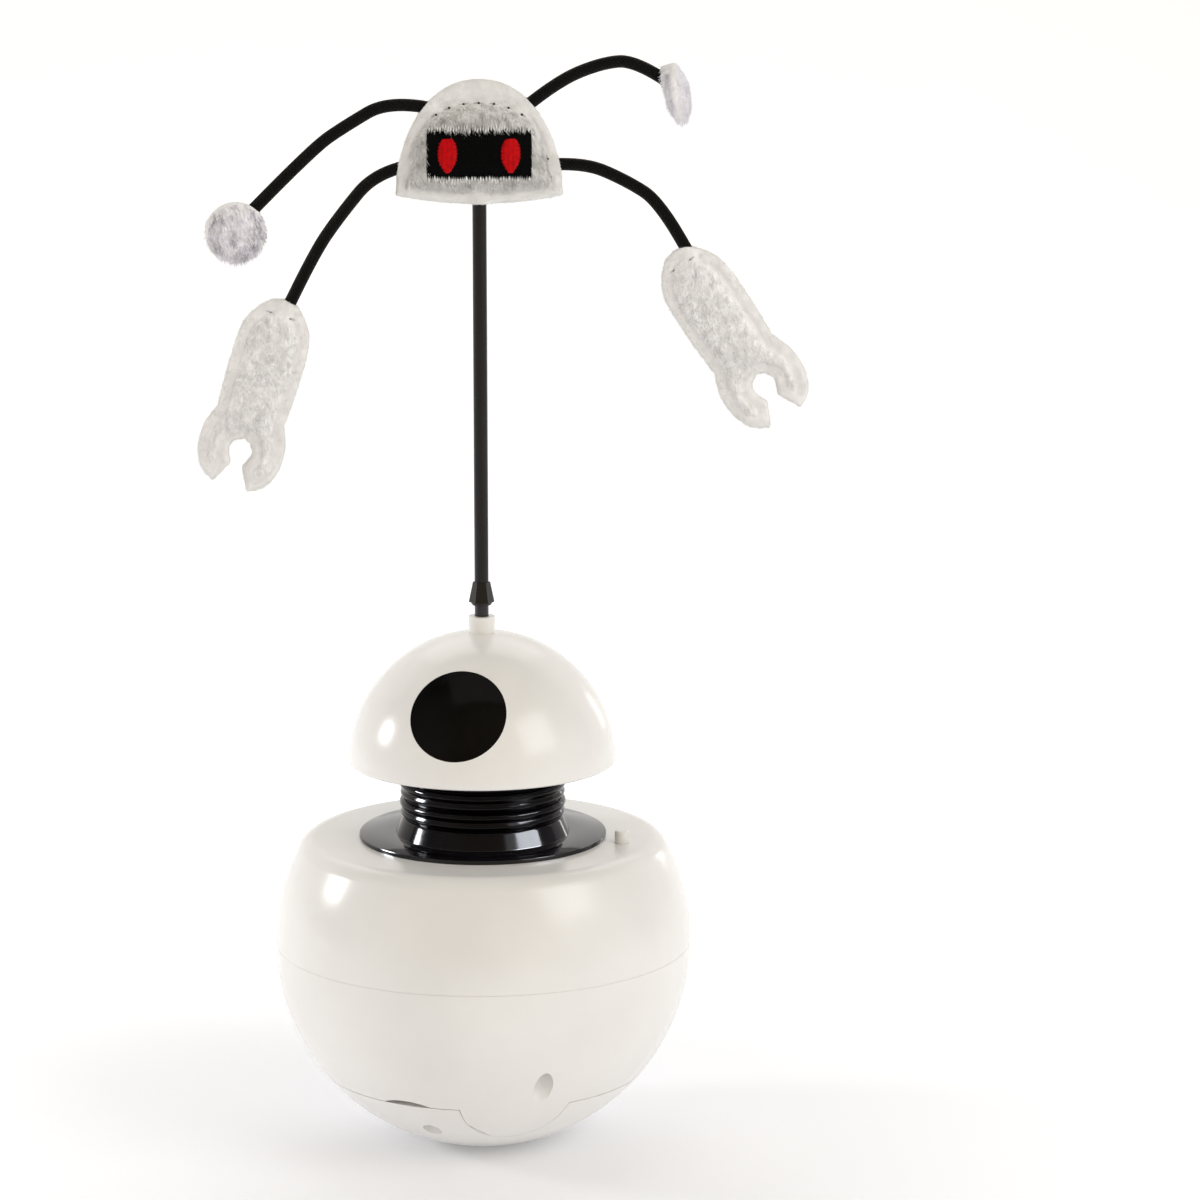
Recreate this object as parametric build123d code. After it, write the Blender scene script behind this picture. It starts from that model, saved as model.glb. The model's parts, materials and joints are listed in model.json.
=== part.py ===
from build123d import *
import os
from math import acos, atan2, cos, degrees, pi, radians, sin, sqrt, tan

# Automatic cat laser toy: a roly-poly body with a weighted foot, a head that a geared motor turns
# on a ribbed neck, a laser behind a round window in the head, and a plug-in wand with a plush robot.
# Millimetres, +Z up, origin at the centre of the flat foot. The front faces -Y.
# An azimuth is counted from the front (-Y) towards +X.

# ---- Driving dimensions: body ----
BODY_R = 45.0            # outer radius of the ball-shaped body
FOOT_R = 9.0             # radius of the flat that it rests on
WALL = 2.0               # wall of the body shells
TOP_RISE = 23.21         # height of the body's flat top over the ball's centre
TOP_ROUND = 4.5          # rounding between the ball and the flat top
PART_GAP = 0.15          # gap between two parts of the casing
LIP_T = 1.2              # thickness of the lips that centre one casing part in the next
LIP_H = 2.4              # how far a lip reaches past the joint
LIP_FIT = 0.2            # gap around a lip
SLACK = 0.4              # free space around a part that only passes by
SEAT = 0.05              # gap between two parts that seat on each other

# ---- Driving dimensions: screws ----
SCREW_R = 1.0            # shank of the small screws
SCREW_HEAD_R = 1.9
SCREW_HEAD_H = 1.4
SCREW_FIT = 0.05         # radial room around a shank
SHELL_SCREW_R = 1.3      # shank of the three long casing screws
POST_R = 3.0             # radius of a screw post

# ---- Driving dimensions: battery door and its tongue ----
DOOR_Z = 16.3            # height of the line between door and lower shell
TONGUE_R = 13.0          # plan radius of the shell's tongue that dips into the door
TONGUE_OUT = 3.6         # how far outside that line the tongue's centre lies
TONGUE_AZ = 11.0
NOTCH_AZ = -27.5         # finger notch in the shell's edge
NOTCH_W = 11.5
NOTCH_H = 1.2
DOOR_SCREW_AZ = -23.1
DOOR_SCREW_IN = 4.6      # distance of the door screw from the cavity's edge at that line
DOOR_SCREW_SINK = 1.4    # depth of its head's top in its recess

# ---- Driving dimensions: casing screws ----
TOWER_IN = 6.2           # distance of the three screw towers from the ball's outside
TOWER_AZ = (18.5, 138.5, 258.5)
TOWER_WALL = 1.1
RECESS_R = 2.15          # radius of the deep screw recesses
RECESS_STOP = 8.0        # solid length between recess and seam

# ---- Driving dimensions: batteries, tray and ballast ----
CELL_R = 5.25            # AAA cell
CELL_LENGTH = 44.5       # over the positive nub
NUB_R = 1.9
NUB_H = 1.0
CELL_PITCH = 10.9
CELL_Z = 19.5            # height of the cells' axes
SPRING_ROOM = 4.3        # length of a compressed contact spring
SPRING_WIRE = 0.3
PLATE = 0.3              # contact plates
TRAY_WALL = 1.2
DECK_T = 1.6
DECK_FIT = 0.5           # gap between deck and shell
DECK_POST_IN = 4.1       # distance of the deck's posts from the shell
DECK_POST_AZ = (78.5, 198.5, 318.5)
BALLAST_R = 16.0
BALLAST_TOP = 10.5

# ---- Driving dimensions: circuit board ----
BOARD = (42.0, 19.0, 1.6)
BOARD_IN = 18.6          # distance of its middle from the deck's edge
BOARD_LIFT = 3.2         # height of the board over the deck
BOARD_HOLE = (18.0, 6.8) # half spacing of its screws
CHIP = (7.0, 7.0, 1.2)
CAPACITOR_R = 2.5
CAPACITOR_H = 8.0
PLUG_BLOCK = (8.0, 5.0, 6.0)

# ---- Driving dimensions: push button ----
BUTTON_R = 1.5
BUTTON_OFF = 4.2         # distance of its middle from the neck's flange
BUTTON_AZ = 74.5
BUTTON_PROUD = 2.7       # how far it stands out of the body
BUTTON_TRAVEL = 0.5
BUTTON_FIT = 0.1
BUTTON_RIM_R = 2.7       # collar that keeps it in the casing
SWITCH = (6.0, 6.0, 3.5)
SWITCH_BOARD = (19.0, 7.5, 1.2)
SWITCH_BOARD_DROP = 9.4  # distance of the board's top under the body's top
SWITCH_POST = 7.5        # half spacing of the board's screws

# ---- Driving dimensions: gearbox ----
MODULE = 0.5
PRESSURE = 25.0          # pressure angle in degrees
PINION_TEETH = 12
WHEEL_TEETH = 36
OUTPUT_TEETH = 42
MESH_SLACK = 0.05        # extra centre distance of each pair
BACKLASH = 0.07          # how much thinner each tooth is
WHEEL_T = 2.2
OUTPUT_T = 3.0
LEVEL_GAP = 0.4          # axial gap between gears, and between gears and plates
GEAR_PLATE = 1.5
CASE_DROP = 2.0          # distance of the gearbox under the body's top
AXLE_R = 0.75
SHAFT_FIT = 0.05         # radial running clearance
STAGE_2_ANGLE = 180.0    # plan angles from each gear to the next, from +X
STAGE_1_ANGLE = 100.0
MOTOR_ANGLE = 10.0
EAR_R = 3.2
EAR_ANGLES = (-36.5, 54.0, 245.0, 145.5)   # around output gear, output gear, stage 2 and stage 1

# ---- Driving dimensions: motor ----
MOTOR_R = 7.7
MOTOR_FLATS = 12.0
MOTOR_CLEAR = 4.15       # height between the motor and the battery deck
MOTOR_WALL = 0.8
MOTOR_SHAFT_R = 0.75
CAP_T = 1.6

# ---- Driving dimensions: neck ----
FLANGE_R = 26.7
FLANGE_T = 0.9
NECK_R = 17.2            # crest of the ribs
GROOVE = 1.1             # depth of the grooves between them
NECK_WALL = 1.6
RIB_PITCH = 4.3
RIBS = 3
FLARE_R = 19.4           # foot of the neck, where it meets the flange
FLARE_H = 2.7
SPIGOT_R = 12.0          # ring that snaps into the body's top
SPIGOT_WALL = 1.4
SNAP = 0.5
SHAFT_R = 3.0            # output shaft, which carries the head
BUSH_R = 4.5
BUSH_H = 6.0
RING_PLATE_R = (7.5, 14.4)
TRACKS = ((8.5, 10.0), (11.5, 13.0))
TRACK_T = 0.2

# ---- Driving dimensions: head ----
DOME_R = 28.8
DOME_WALL = 1.8
HEAD_GAP = 0.5           # height of the dome's centre over the neck
DOME_LIFT = 0.4          # height of its rim over that centre
FLOOR_T = 1.8
HUB_R = 5.5
HUB_H = 5.5
BOSS_R = 2.85            # socket for the wand
BOSS_H = 3.4             # how far it stands out of the dome
SOCKET_DEPTH = 12.0
WINDOW_R = 10.3
WINDOW_AZ = -13.0
WINDOW_EL = 33.8
WINDOW_RIM = 1.3         # width of the rim glued behind the dome's wall
DOME_POST_AT = 21.0
DOME_POST_AZ = (60.0, 180.0, 300.0)
LASER_R = 3.0
LASER_LENGTH = 12.0
LASER_DIP = 20.0         # how far it points down, in degrees
LASER_EXIT_EL = 22.0     # elevation where the beam leaves the window
LASER_FRONT = 17.0       # distance of its front end from the axis
LENS_R = 2.2
SADDLE = (9.0, 6.0)      # plan of the block that carries the laser
HEAD_SCREW_IN = 7.0      # length of the dome's screws above its floor
HUB_SCREW_IN = 4.5       # length of the hub's screw in the shaft
WIPER = (5.0, 1.0, 5.5, 6.5)   # a wiper's root, bend, and start and end of its contact
WIPER_T = 0.25

# ---- Driving dimensions: wand and plush robot ----
PIN_R = 1.5
PIN_FIT = 0.05
PIN_GAP = 2.45           # stretch of the pin that shows over the socket
FERRULE_R = (2.75, 1.75)
FERRULE_H = 5.0
ROD_R = 1.5
ROD_FREE = 80.8          # rod between ferrule and plush head
ROD_IN_HEAD = 12.0
HEAD_WIDTH = 35.4
HEAD_HEIGHT = 26.2
HEAD_T = 9.0
HEAD_SAG = 1.8           # how far the hem's middle hangs under its corners
VISOR = (21.8, 10.0, 0.8)
VISOR_LIFT = 5.7         # visor's lower edge over the hem
EYE = (4.6, 7.5, 0.4)
EYE_SPACING = 13.2
ARM_R = 1.35
HAND_GRIP = 0.05         # room around an arm in its plush
PAD_R = 6.5
PAD_T = 4.5
CLAW_T = 4.8
CLAW_LENGTH = 42.3
PALM_HALF = 7.9          # half width of a claw's palm
JAW_HALF = 9.1
TIP_HALF = 3.8           # half the gap between the jaws' tips
BITE_START = 31.4        # where the round bite between the jaws starts
BITE_END = 37.2
BITE_HALF = 2.5
LIP_HALF = 1.2           # half the gap at the bite's mouth
# Routes of the arms, as (x, z) from the middle of the head's hem, from head to hand
ARM_ROUTES = {
    "upper_left": ((-9.5, 20.0), (-18.7, 22.0), (-28.2, 16.6), (-35.0, 12.1), (-48.4, -1.2)),
    "lower_left": ((-13.5, 8.3), (-21.5, 7.0), (-29.4, -2.4), (-35.3, -10.8), (-41.1, -22.6)),
    "upper_right": ((8.5, 19.3), (16.1, 25.4), (25.6, 29.3), (33.1, 29.9), (40.4, 24.9)),
    "lower_right": ((14.0, 8.2), (21.8, 8.9), (30.8, 5.3), (38.6, 0.5), (44.7, -10.7)),
}
ARM_SWING = {"upper_left": 9.0, "lower_left": -7.0, "upper_right": 6.0, "lower_right": -10.0}
PAD_PLACES = {"upper_left": (-51.4, -5.2), "upper_right": (42.0, 22.9)}
PAD_TURN = {"upper_left": (0.0, 0.0), "upper_right": (76.0, -10.0)}   # about Z, then about Y
CLAW_PLACES = {"lower_left": (-41.2, -20.4), "lower_right": (41.1, -9.4)}
CLAW_ANGLE = {"lower_left": -107.7, "lower_right": -55.5}


# ---- Worked-out heights ----
BODY_Z = sqrt(BODY_R**2 - FOOT_R**2)
SEAM_Z = BODY_Z
TOP_Z = BODY_Z + TOP_RISE
TOP_IN = TOP_Z - WALL
DECK_Z = CELL_Z + CELL_R + 0.45 + TRAY_WALL - 0.2
DECK_TOP = DECK_Z + DECK_T
BOARD_Z = DECK_TOP + BOARD_LIFT
LEDGE_Z = SEAM_Z - RECESS_STOP
BUTTON_TOP = TOP_Z + BUTTON_PROUD
COVER_TOP = TOP_IN - CASE_DROP
COVER_Z = COVER_TOP - GEAR_PLATE
OUTPUT_Z = COVER_Z - LEVEL_GAP - OUTPUT_T
WHEEL_2_Z = OUTPUT_Z - LEVEL_GAP - WHEEL_T
WHEEL_1_Z = WHEEL_2_Z - LEVEL_GAP - WHEEL_T
PLATE_TOP = WHEEL_1_Z - LEVEL_GAP - 1.3
PLATE_Z = PLATE_TOP - GEAR_PLATE
SWITCH_BOARD_TOP = TOP_Z - SWITCH_BOARD_DROP
FLANGE_TOP = TOP_Z + FLANGE_T
NECK_FOOT = FLANGE_TOP + FLARE_H
NECK_TOP = NECK_FOOT + RIBS * RIB_PITCH - 1.0
DOME_Z = NECK_TOP + HEAD_GAP
BUSH_Z = TOP_Z
RING_Z = NECK_TOP - 3.6
RIM_Z = DOME_Z + DOME_LIFT
FLOOR_Z = RIM_Z + 0.3
FLOOR_TOP = FLOOR_Z + FLOOR_T
SHAFT_TOP = FLOOR_TOP + HUB_H - 1.2
BOSS_TOP = DOME_Z + DOME_R + BOSS_H
SOCKET_END = BOSS_TOP - SOCKET_DEPTH
FERRULE_Z = BOSS_TOP + PIN_GAP
ROD_Z = FERRULE_Z + FERRULE_H
HEAD_Z = ROD_Z + ROD_FREE


# ---- Small helpers ----
def polar(distance, azimuth):
    """Plan position at a distance from the axis and an azimuth from the front."""
    return distance * sin(radians(azimuth)), -distance * cos(radians(azimuth))


def rod(radius, low, high, at=(0, 0)):
    """Upright cylinder between two heights."""
    return Pos(at[0], at[1], (low + high) / 2) * Cylinder(radius, high - low)


def tube(outer, inner, low, high, at=(0, 0)):
    """Upright ring between two heights."""
    return rod(outer, low, high, at) - rod(inner, low - 1, high + 1, at)


def block(size, low, at=(0, 0)):
    """Box that stands on the height low."""
    return Pos(at[0], at[1], low + size[2] / 2) * Box(*size)


def slab(low, high):
    """Wide slice between two heights, to cut the body with."""
    return rod(2 * BODY_R, low, high)


def joined(shapes):
    """One node made of several separate solids."""
    return Compound(children=[solid for shape in shapes for solid in shape.solids()])


def screw_up(head_z, tip_z, at, shank=SCREW_R, head=SCREW_HEAD_R, head_h=SCREW_HEAD_H):
    """Screw driven upwards: its head's seat is at head_z."""
    driver = rod(head * 0.5, head_z - head_h - 1, head_z - head_h * 0.5, at)
    return rod(head, head_z - head_h, head_z, at) + rod(shank, head_z, tip_z, at) - driver


def screw_down(head_z, tip_z, at):
    """Screw driven downwards: its head's seat is at head_z."""
    driver = rod(SCREW_HEAD_R * 0.5, head_z + SCREW_HEAD_H * 0.5, head_z + SCREW_HEAD_H + 1, at)
    head = rod(SCREW_HEAD_R, head_z, head_z + SCREW_HEAD_H, at)
    return head + rod(SCREW_R, tip_z, head_z, at) - driver


def body_form(inset):
    """The body's outer form moved inwards: a ball with a flat foot and a rounded flat top."""
    ball = Pos(0, 0, BODY_Z) * Sphere(BODY_R - inset)
    form = ball & slab(inset, TOP_Z - inset)
    top_edge = form.edges().filter_by(GeomType.CIRCLE).sort_by(Axis.Z)[-1]
    return fillet(top_edge, TOP_ROUND - inset)


def inner_radius(height):
    """Radius of the body's cavity at a height."""
    return sqrt((BODY_R - WALL) ** 2 - (height - BODY_Z) ** 2)


DECK_R = inner_radius(DECK_Z) - DECK_FIT
DECK_POST_AT = inner_radius(DECK_Z) - DECK_POST_IN
BOARD_Y = BOARD_IN - DECK_R
TOWER_AT = BODY_R - TOWER_IN
DOOR_EDGE_R = sqrt(BODY_R**2 - (DOOR_Z - BODY_Z) ** 2)
TONGUE_REACH = DOOR_EDGE_R + TONGUE_OUT
DOOR_SCREW_AT = inner_radius(DOOR_Z) - DOOR_SCREW_IN
DOOR_SCREW_Z = BODY_Z - sqrt(BODY_R**2 - DOOR_SCREW_AT**2) + DOOR_SCREW_SINK + SCREW_HEAD_H
BUTTON_AT = FLANGE_R + BUTTON_OFF
OUTER = body_form(0)
CAVITY = body_form(WALL)
CASING = OUTER - CAVITY
BLEND = body_form(WALL / 2)     # posts and lips run into the walls up to this surface


# ---- Casing ----
def tongue(extra):
    """Plan area where the lower shell dips into the door."""
    return rod(TONGUE_R + extra, -1, DOOR_Z + LIP_H, polar(TONGUE_REACH, TONGUE_AZ))


def upper_shell():
    shell = CASING & slab(SEAM_Z + PART_GAP / 2, TOP_Z + 1)
    lip_r = BODY_R - WALL - LIP_FIT
    lip = tube(lip_r, lip_r - LIP_T, SEAM_Z - LIP_H, SEAM_Z + LIP_H)
    lip += tube(BODY_R - WALL / 2, lip_r - LIP_T, SEAM_Z + PART_GAP / 2, SEAM_Z + LIP_H)
    for azimuth in TOWER_AZ:
        lip -= rod(RECESS_R + TOWER_WALL + LIP_FIT, 0, SEAM_Z + PART_GAP, polar(TOWER_AT, azimuth))
    shell += lip & BLEND
    for azimuth in TOWER_AZ:
        at = polar(TOWER_AT, azimuth)
        shell += rod(POST_R, SEAM_Z + PART_GAP / 2, TOP_Z, at) & BLEND
    for at in ear_places():
        shell += rod(EAR_R - 0.2, COVER_TOP, TOP_Z - WALL / 2, at)
    for at in switch_posts():
        shell += rod(EAR_R - 1.0, SWITCH_BOARD_TOP, TOP_Z - WALL / 2, at)
    for azimuth in TOWER_AZ:
        at = polar(TOWER_AT, azimuth)
        shell -= rod(SHELL_SCREW_R + SCREW_FIT, SEAM_Z - 1, SEAM_Z + RECESS_STOP, at)
    for at in ear_places():
        shell -= rod(SCREW_R + SCREW_FIT, COVER_TOP - 1, TOP_IN + WALL / 2 + 0.2, at)
    for at in switch_posts():
        shell -= rod(SCREW_R + SCREW_FIT, SWITCH_BOARD_TOP - 1, TOP_IN - 1.0, at)
    shell -= rod(SPIGOT_R + PART_GAP, TOP_IN - 1, TOP_Z + 1)
    shell -= rod(BUTTON_R + BUTTON_FIT, TOP_IN - 1, TOP_Z + 1, polar(BUTTON_AT, BUTTON_AZ))
    return shell


def lower_shell():
    shell = CASING & slab(DOOR_Z + PART_GAP / 2, SEAM_Z - PART_GAP / 2)
    shell += CASING & tongue(0) & slab(0, DOOR_Z + 1)
    low = DOOR_Z - LIP_H
    for azimuth in TOWER_AZ:
        at = polar(TOWER_AT, azimuth)
        shell += rod(RECESS_R + TOWER_WALL, low, SEAM_Z - PART_GAP / 2, at) & BLEND & slab(DOOR_Z + 1, TOP_Z)
    for azimuth in DECK_POST_AZ:
        post = rod(POST_R, low, DECK_Z, polar(DECK_POST_AT, azimuth))
        shell += post & BLEND & slab(DOOR_Z + LIP_H, TOP_Z)
    for azimuth in TOWER_AZ:
        at = polar(TOWER_AT, azimuth)
        shell -= rod(RECESS_R, 0, LEDGE_Z, at)
        shell -= rod(SHELL_SCREW_R + SCREW_FIT, LEDGE_Z - 1, SEAM_Z + 1, at)
    for azimuth in DECK_POST_AZ:
        at = polar(DECK_POST_AT, azimuth)
        shell -= rod(SCREW_R + SCREW_FIT, DECK_Z - 5.5, DECK_Z + 1, at)
    notch_r = (NOTCH_W**2 / 4 + NOTCH_H**2) / (2 * NOTCH_H)
    notch = Pos(0, 0, DOOR_Z + NOTCH_H - notch_r) * Rot(0, 0, NOTCH_AZ) * Rot(90, 0, 0) * Cylinder(
        notch_r, 2 * BODY_R, align=(Align.CENTER, Align.CENTER, Align.MIN)
    )
    return shell - notch


def door_place():
    return polar(DOOR_SCREW_AT, DOOR_SCREW_AZ)


def battery_door():
    door = CASING & slab(-1, DOOR_Z - PART_GAP / 2)
    lip_r = inner_radius(DOOR_Z) - LIP_FIT
    lip = tube(lip_r, lip_r - LIP_T, 0, DOOR_Z + LIP_H - 0.6) & BLEND
    door += lip
    door += tube(BALLAST_R + LIP_FIT + LIP_T, BALLAST_R + LIP_FIT, 0, BALLAST_TOP - 1.5) & BLEND
    door += rod(POST_R - 0.1, 0, DOOR_SCREW_Z + SCREW_HEAD_H + 2.0, door_place()) & BLEND
    door -= tongue(PART_GAP)
    door -= rod(SCREW_HEAD_R + 0.1, -1, DOOR_SCREW_Z + SEAT, door_place())
    door -= rod(SCREW_R + SCREW_FIT, 0, DOOR_Z, door_place())
    return door


def door_screw():
    return screw_up(DOOR_SCREW_Z, DECK_Z - 4.0, door_place())


def ballast_weight():
    return rod(BALLAST_R, 0, BALLAST_TOP) & body_form(WALL + SEAT)


def shell_screws():
    tip = SEAM_Z + RECESS_STOP - 1
    return joined(
        screw_up(LEDGE_Z, tip, polar(TOWER_AT, azimuth), SHELL_SCREW_R, RECESS_R - 0.15)
        for azimuth in TOWER_AZ
    )


# ---- Battery tray and cells ----
TRAY_LENGTH = CELL_LENGTH + SPRING_ROOM + 2 * PLATE + 0.1
TRAY_WIDTH = 2 * CELL_PITCH + 2 * CELL_R + 0.4


def battery_tray():
    tray = rod(DECK_R, DECK_Z, DECK_TOP)
    low = CELL_Z - 2.4
    outer = block((TRAY_LENGTH + 2 * TRAY_WALL, TRAY_WIDTH + 2 * TRAY_WALL, DECK_Z - low), low)
    lip_r = inner_radius(DOOR_Z) - LIP_FIT - LIP_T
    tray += outer & rod(lip_r - SLACK, 0, TOP_Z)
    tray += rod(POST_R - 0.4, DOOR_SCREW_Z + SCREW_HEAD_H + 2.3, DECK_Z, door_place())
    for at in board_screw_places():
        tray += rod(EAR_R - 1.0, DECK_TOP, BOARD_Z, at)
    tray -= block((TRAY_LENGTH, TRAY_WIDTH, CELL_Z + CELL_R + 0.25 - low + 5), low - 5)
    for azimuth in TOWER_AZ:
        tray -= rod(RECESS_R + TOWER_WALL + SLACK, 0, TOP_Z, polar(TOWER_AT, azimuth))
    for azimuth in DECK_POST_AZ:
        tray -= rod(SCREW_R + SCREW_FIT, 0, TOP_Z, polar(DECK_POST_AT, azimuth))
    tray -= rod(SCREW_R + SCREW_FIT, 0, DECK_Z - 2.0, door_place())
    for at in board_screw_places():
        tray -= rod(SCREW_R + SCREW_FIT, DECK_TOP - 1.0, TOP_Z, at)
    return tray


def cell_side(row):
    """Which way a cell's positive end points: the cells lie head to tail."""
    return 1 if row % 2 else -1


def battery_cell(row):
    """Cell with its nub against one contact plate; row counts -1, 0, 1 across the tray."""
    side = cell_side(row)
    can = Cylinder(CELL_R, CELL_LENGTH - NUB_H, align=(Align.CENTER, Align.CENTER, Align.MIN))
    can = fillet(can.edges(), 0.4)
    nub = Pos(0, 0, CELL_LENGTH - NUB_H - 0.5) * Cylinder(
        NUB_R, NUB_H + 0.5, align=(Align.CENTER, Align.CENTER, Align.MIN)
    )
    start = side * (TRAY_LENGTH / 2 - PLATE - SEAT - CELL_LENGTH)
    return Pos(start, row * CELL_PITCH, CELL_Z) * Rot(0, 90 * side, 0) * (can + nub)


def battery_contacts():
    plates = []
    for end in (-1, 1):
        for row in (-1, 0, 1):
            plate = Box(PLATE, 2 * CELL_R - 1.5, 2 * CELL_R - 3.0)
            x = end * (TRAY_LENGTH - PLATE) / 2
            plates.append(Pos(x, row * CELL_PITCH, CELL_Z) * plate)
    return joined(plates)


def battery_springs():
    """Compressed coil springs behind the cells' flat ends."""
    springs = []
    room = SPRING_ROOM - 2 * SPRING_WIRE - 2 * SEAT
    for row in (-1, 0, 1):
        side = cell_side(row)
        path = Helix(pitch=room / 3, height=room, radius=2.6)
        section = Plane(path @ 0, z_dir=path % 0) * Circle(SPRING_WIRE)
        coil = sweep(section, path=path, is_frenet=True)
        start = -side * (TRAY_LENGTH / 2 - PLATE - SPRING_WIRE - SEAT)
        springs.append(Pos(start, row * CELL_PITCH, CELL_Z) * Rot(0, 90 * side, 0) * coil)
    return joined(springs)


def deck_screws():
    return [screw_down(DECK_TOP, DECK_Z - 4.5, polar(DECK_POST_AT, azimuth)) for azimuth in DECK_POST_AZ]


# ---- Circuit boards and push button ----
def board_screw_places():
    return [(sx * BOARD_HOLE[0], BOARD_Y + sy * BOARD_HOLE[1]) for sx in (-1, 1) for sy in (-1, 1)]


def switch_posts():
    """The two screw places of the switch board, across the button's radius."""
    x, y = polar(BUTTON_AT, BUTTON_AZ)
    turn = radians(BUTTON_AZ)
    return [(x + s * SWITCH_POST * cos(turn), y + s * SWITCH_POST * sin(turn)) for s in (-1, 1)]


def main_board():
    board = block(BOARD, BOARD_Z, (0, BOARD_Y))
    for at in board_screw_places():
        board -= rod(SCREW_R + SCREW_FIT, 0, TOP_Z, at)
    return board


def controller_chip():
    return block(CHIP, BOARD_Z + BOARD[2], (0, BOARD_Y))


def smoothing_capacitor():
    low = BOARD_Z + BOARD[2]
    return rod(CAPACITOR_R, low, low + CAPACITOR_H, (BOARD[0] / 4 + 1.5, BOARD_Y))


def wire_connector():
    housing = block(PLUG_BLOCK, BOARD_Z + BOARD[2], (-BOARD[0] / 4 - 1.0, BOARD_Y))
    slot_size = (PLUG_BLOCK[0] - 1.6, PLUG_BLOCK[1] - 1.6, PLUG_BLOCK[2])
    return housing - block(slot_size, BOARD_Z + BOARD[2] + 1.5, (-BOARD[0] / 4 - 1.0, BOARD_Y))


def switch_board():
    x, y = polar(BUTTON_AT, BUTTON_AZ)
    board = Pos(x, y, SWITCH_BOARD_TOP - SWITCH_BOARD[2] / 2) * Rot(0, 0, BUTTON_AZ) * Box(*SWITCH_BOARD)
    for at in switch_posts():
        board -= rod(SCREW_R + SCREW_FIT, 0, TOP_Z, at)
    return board


def tact_switch():
    x, y = polar(BUTTON_AT, BUTTON_AZ)
    case = Pos(x, y, SWITCH_BOARD_TOP + SWITCH[2] / 2) * Rot(0, 0, BUTTON_AZ) * Box(*SWITCH)
    return case + rod(1.6, SWITCH_BOARD_TOP + SWITCH[2], SWITCH_BOARD_TOP + SWITCH[2] + 0.6, (x, y))


def push_button():
    at = polar(BUTTON_AT, BUTTON_AZ)
    low = SWITCH_BOARD_TOP + SWITCH[2] + 0.6 + BUTTON_TRAVEL + SEAT
    button = rod(BUTTON_R, low, BUTTON_TOP, at)
    button = fillet(button.edges().filter_by(GeomType.CIRCLE).sort_by(Axis.Z)[-1], 0.5)
    return button + rod(BUTTON_RIM_R, TOP_IN - 1.2, TOP_IN - SEAT, at)


def board_screws():
    head_z = BOARD_Z + BOARD[2]
    screws = [screw_down(head_z, DECK_TOP - 0.5, at) for at in board_screw_places()]
    low = SWITCH_BOARD_TOP - SWITCH_BOARD[2]
    screws += [screw_up(low, TOP_IN - 1.5, at) for at in switch_posts()]
    return joined(screws)


# ---- Gears ----
def involute_point(base_r, radius, offset):
    """Point of an involute flank at a radius; offset turns the flank."""
    rolled = acos(min(1.0, base_r / radius))
    angle = offset - (tan(rolled) - rolled)
    return radius * cos(angle), radius * sin(angle)


def gear(teeth, low, high, at, phase):
    """Spur gear with involute teeth; a tooth's middle lies at the angle phase, in radians."""
    pitch_r = MODULE * teeth / 2
    base_r = pitch_r * cos(radians(PRESSURE))
    tip_r = pitch_r + MODULE
    root_r = pitch_r - 1.25 * MODULE
    start_r = max(base_r, root_r)
    rolled = tan(radians(PRESSURE)) - radians(PRESSURE)
    half = (pi * MODULE / 2 - BACKLASH) / (2 * pitch_r) + rolled
    radii = [start_r + (tip_r - start_r) * step / 3 for step in range(4)]
    upper = [Vector(*involute_point(base_r, radius, half)) for radius in radii]
    lower = [Vector(p.X, -p.Y) for p in upper]
    root_angle = atan2(upper[0].Y, upper[0].X)
    foot = Vector(root_r * cos(root_angle), root_r * sin(root_angle))
    space = 2 * pi / teeth - root_angle
    edges = []
    for tooth in range(teeth):
        turn = degrees(phase + 2 * pi * tooth / teeth)
        profile = [Spline(*upper), ThreePointArc(upper[3], Vector(tip_r, 0), lower[3]), Spline(*lower)]
        if start_r > root_r:
            profile += [Line(foot, upper[0]), Line(Vector(foot.X, -foot.Y), lower[0])]
        middle = (root_angle + space) / 2
        next_foot = Vector(root_r * cos(space), root_r * sin(space))
        profile.append(ThreePointArc(foot, Vector(root_r * cos(middle), root_r * sin(middle)), next_foot))
        edges += [Rot(0, 0, turn) * edge for edge in profile]
    face = Face(Wire(edges))
    return Pos(at[0], at[1], low) * extrude(face, amount=high - low, dir=(0, 0, 1))


def meshing_phase(teeth_a, phase_a, teeth_b, direction):
    """Phase of gear b, whose centre lies at the angle direction from gear a's centre."""
    cycle = (direction - phase_a) * teeth_a / (2 * pi)
    return direction + pi - (0.5 - cycle) * 2 * pi / teeth_b


def step_from(at, teeth_a, teeth_b, angle):
    """Centre of the next gear in the train."""
    distance = MODULE * (teeth_a + teeth_b) / 2 + MESH_SLACK
    return at[0] + distance * cos(radians(angle)), at[1] + distance * sin(radians(angle))


OUTPUT_AT = (0.0, 0.0)
AXLE_2_AT = step_from(OUTPUT_AT, OUTPUT_TEETH, PINION_TEETH, STAGE_2_ANGLE)
AXLE_1_AT = step_from(AXLE_2_AT, WHEEL_TEETH, PINION_TEETH, STAGE_1_ANGLE)
MOTOR_AT = step_from(AXLE_1_AT, WHEEL_TEETH, PINION_TEETH, MOTOR_ANGLE)
PINION_2_PHASE = meshing_phase(OUTPUT_TEETH, 0.0, PINION_TEETH, radians(STAGE_2_ANGLE))
PINION_1_PHASE = meshing_phase(WHEEL_TEETH, 0.0, PINION_TEETH, radians(STAGE_1_ANGLE))
MOTOR_PHASE = meshing_phase(WHEEL_TEETH, 0.0, PINION_TEETH, radians(MOTOR_ANGLE))


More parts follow.
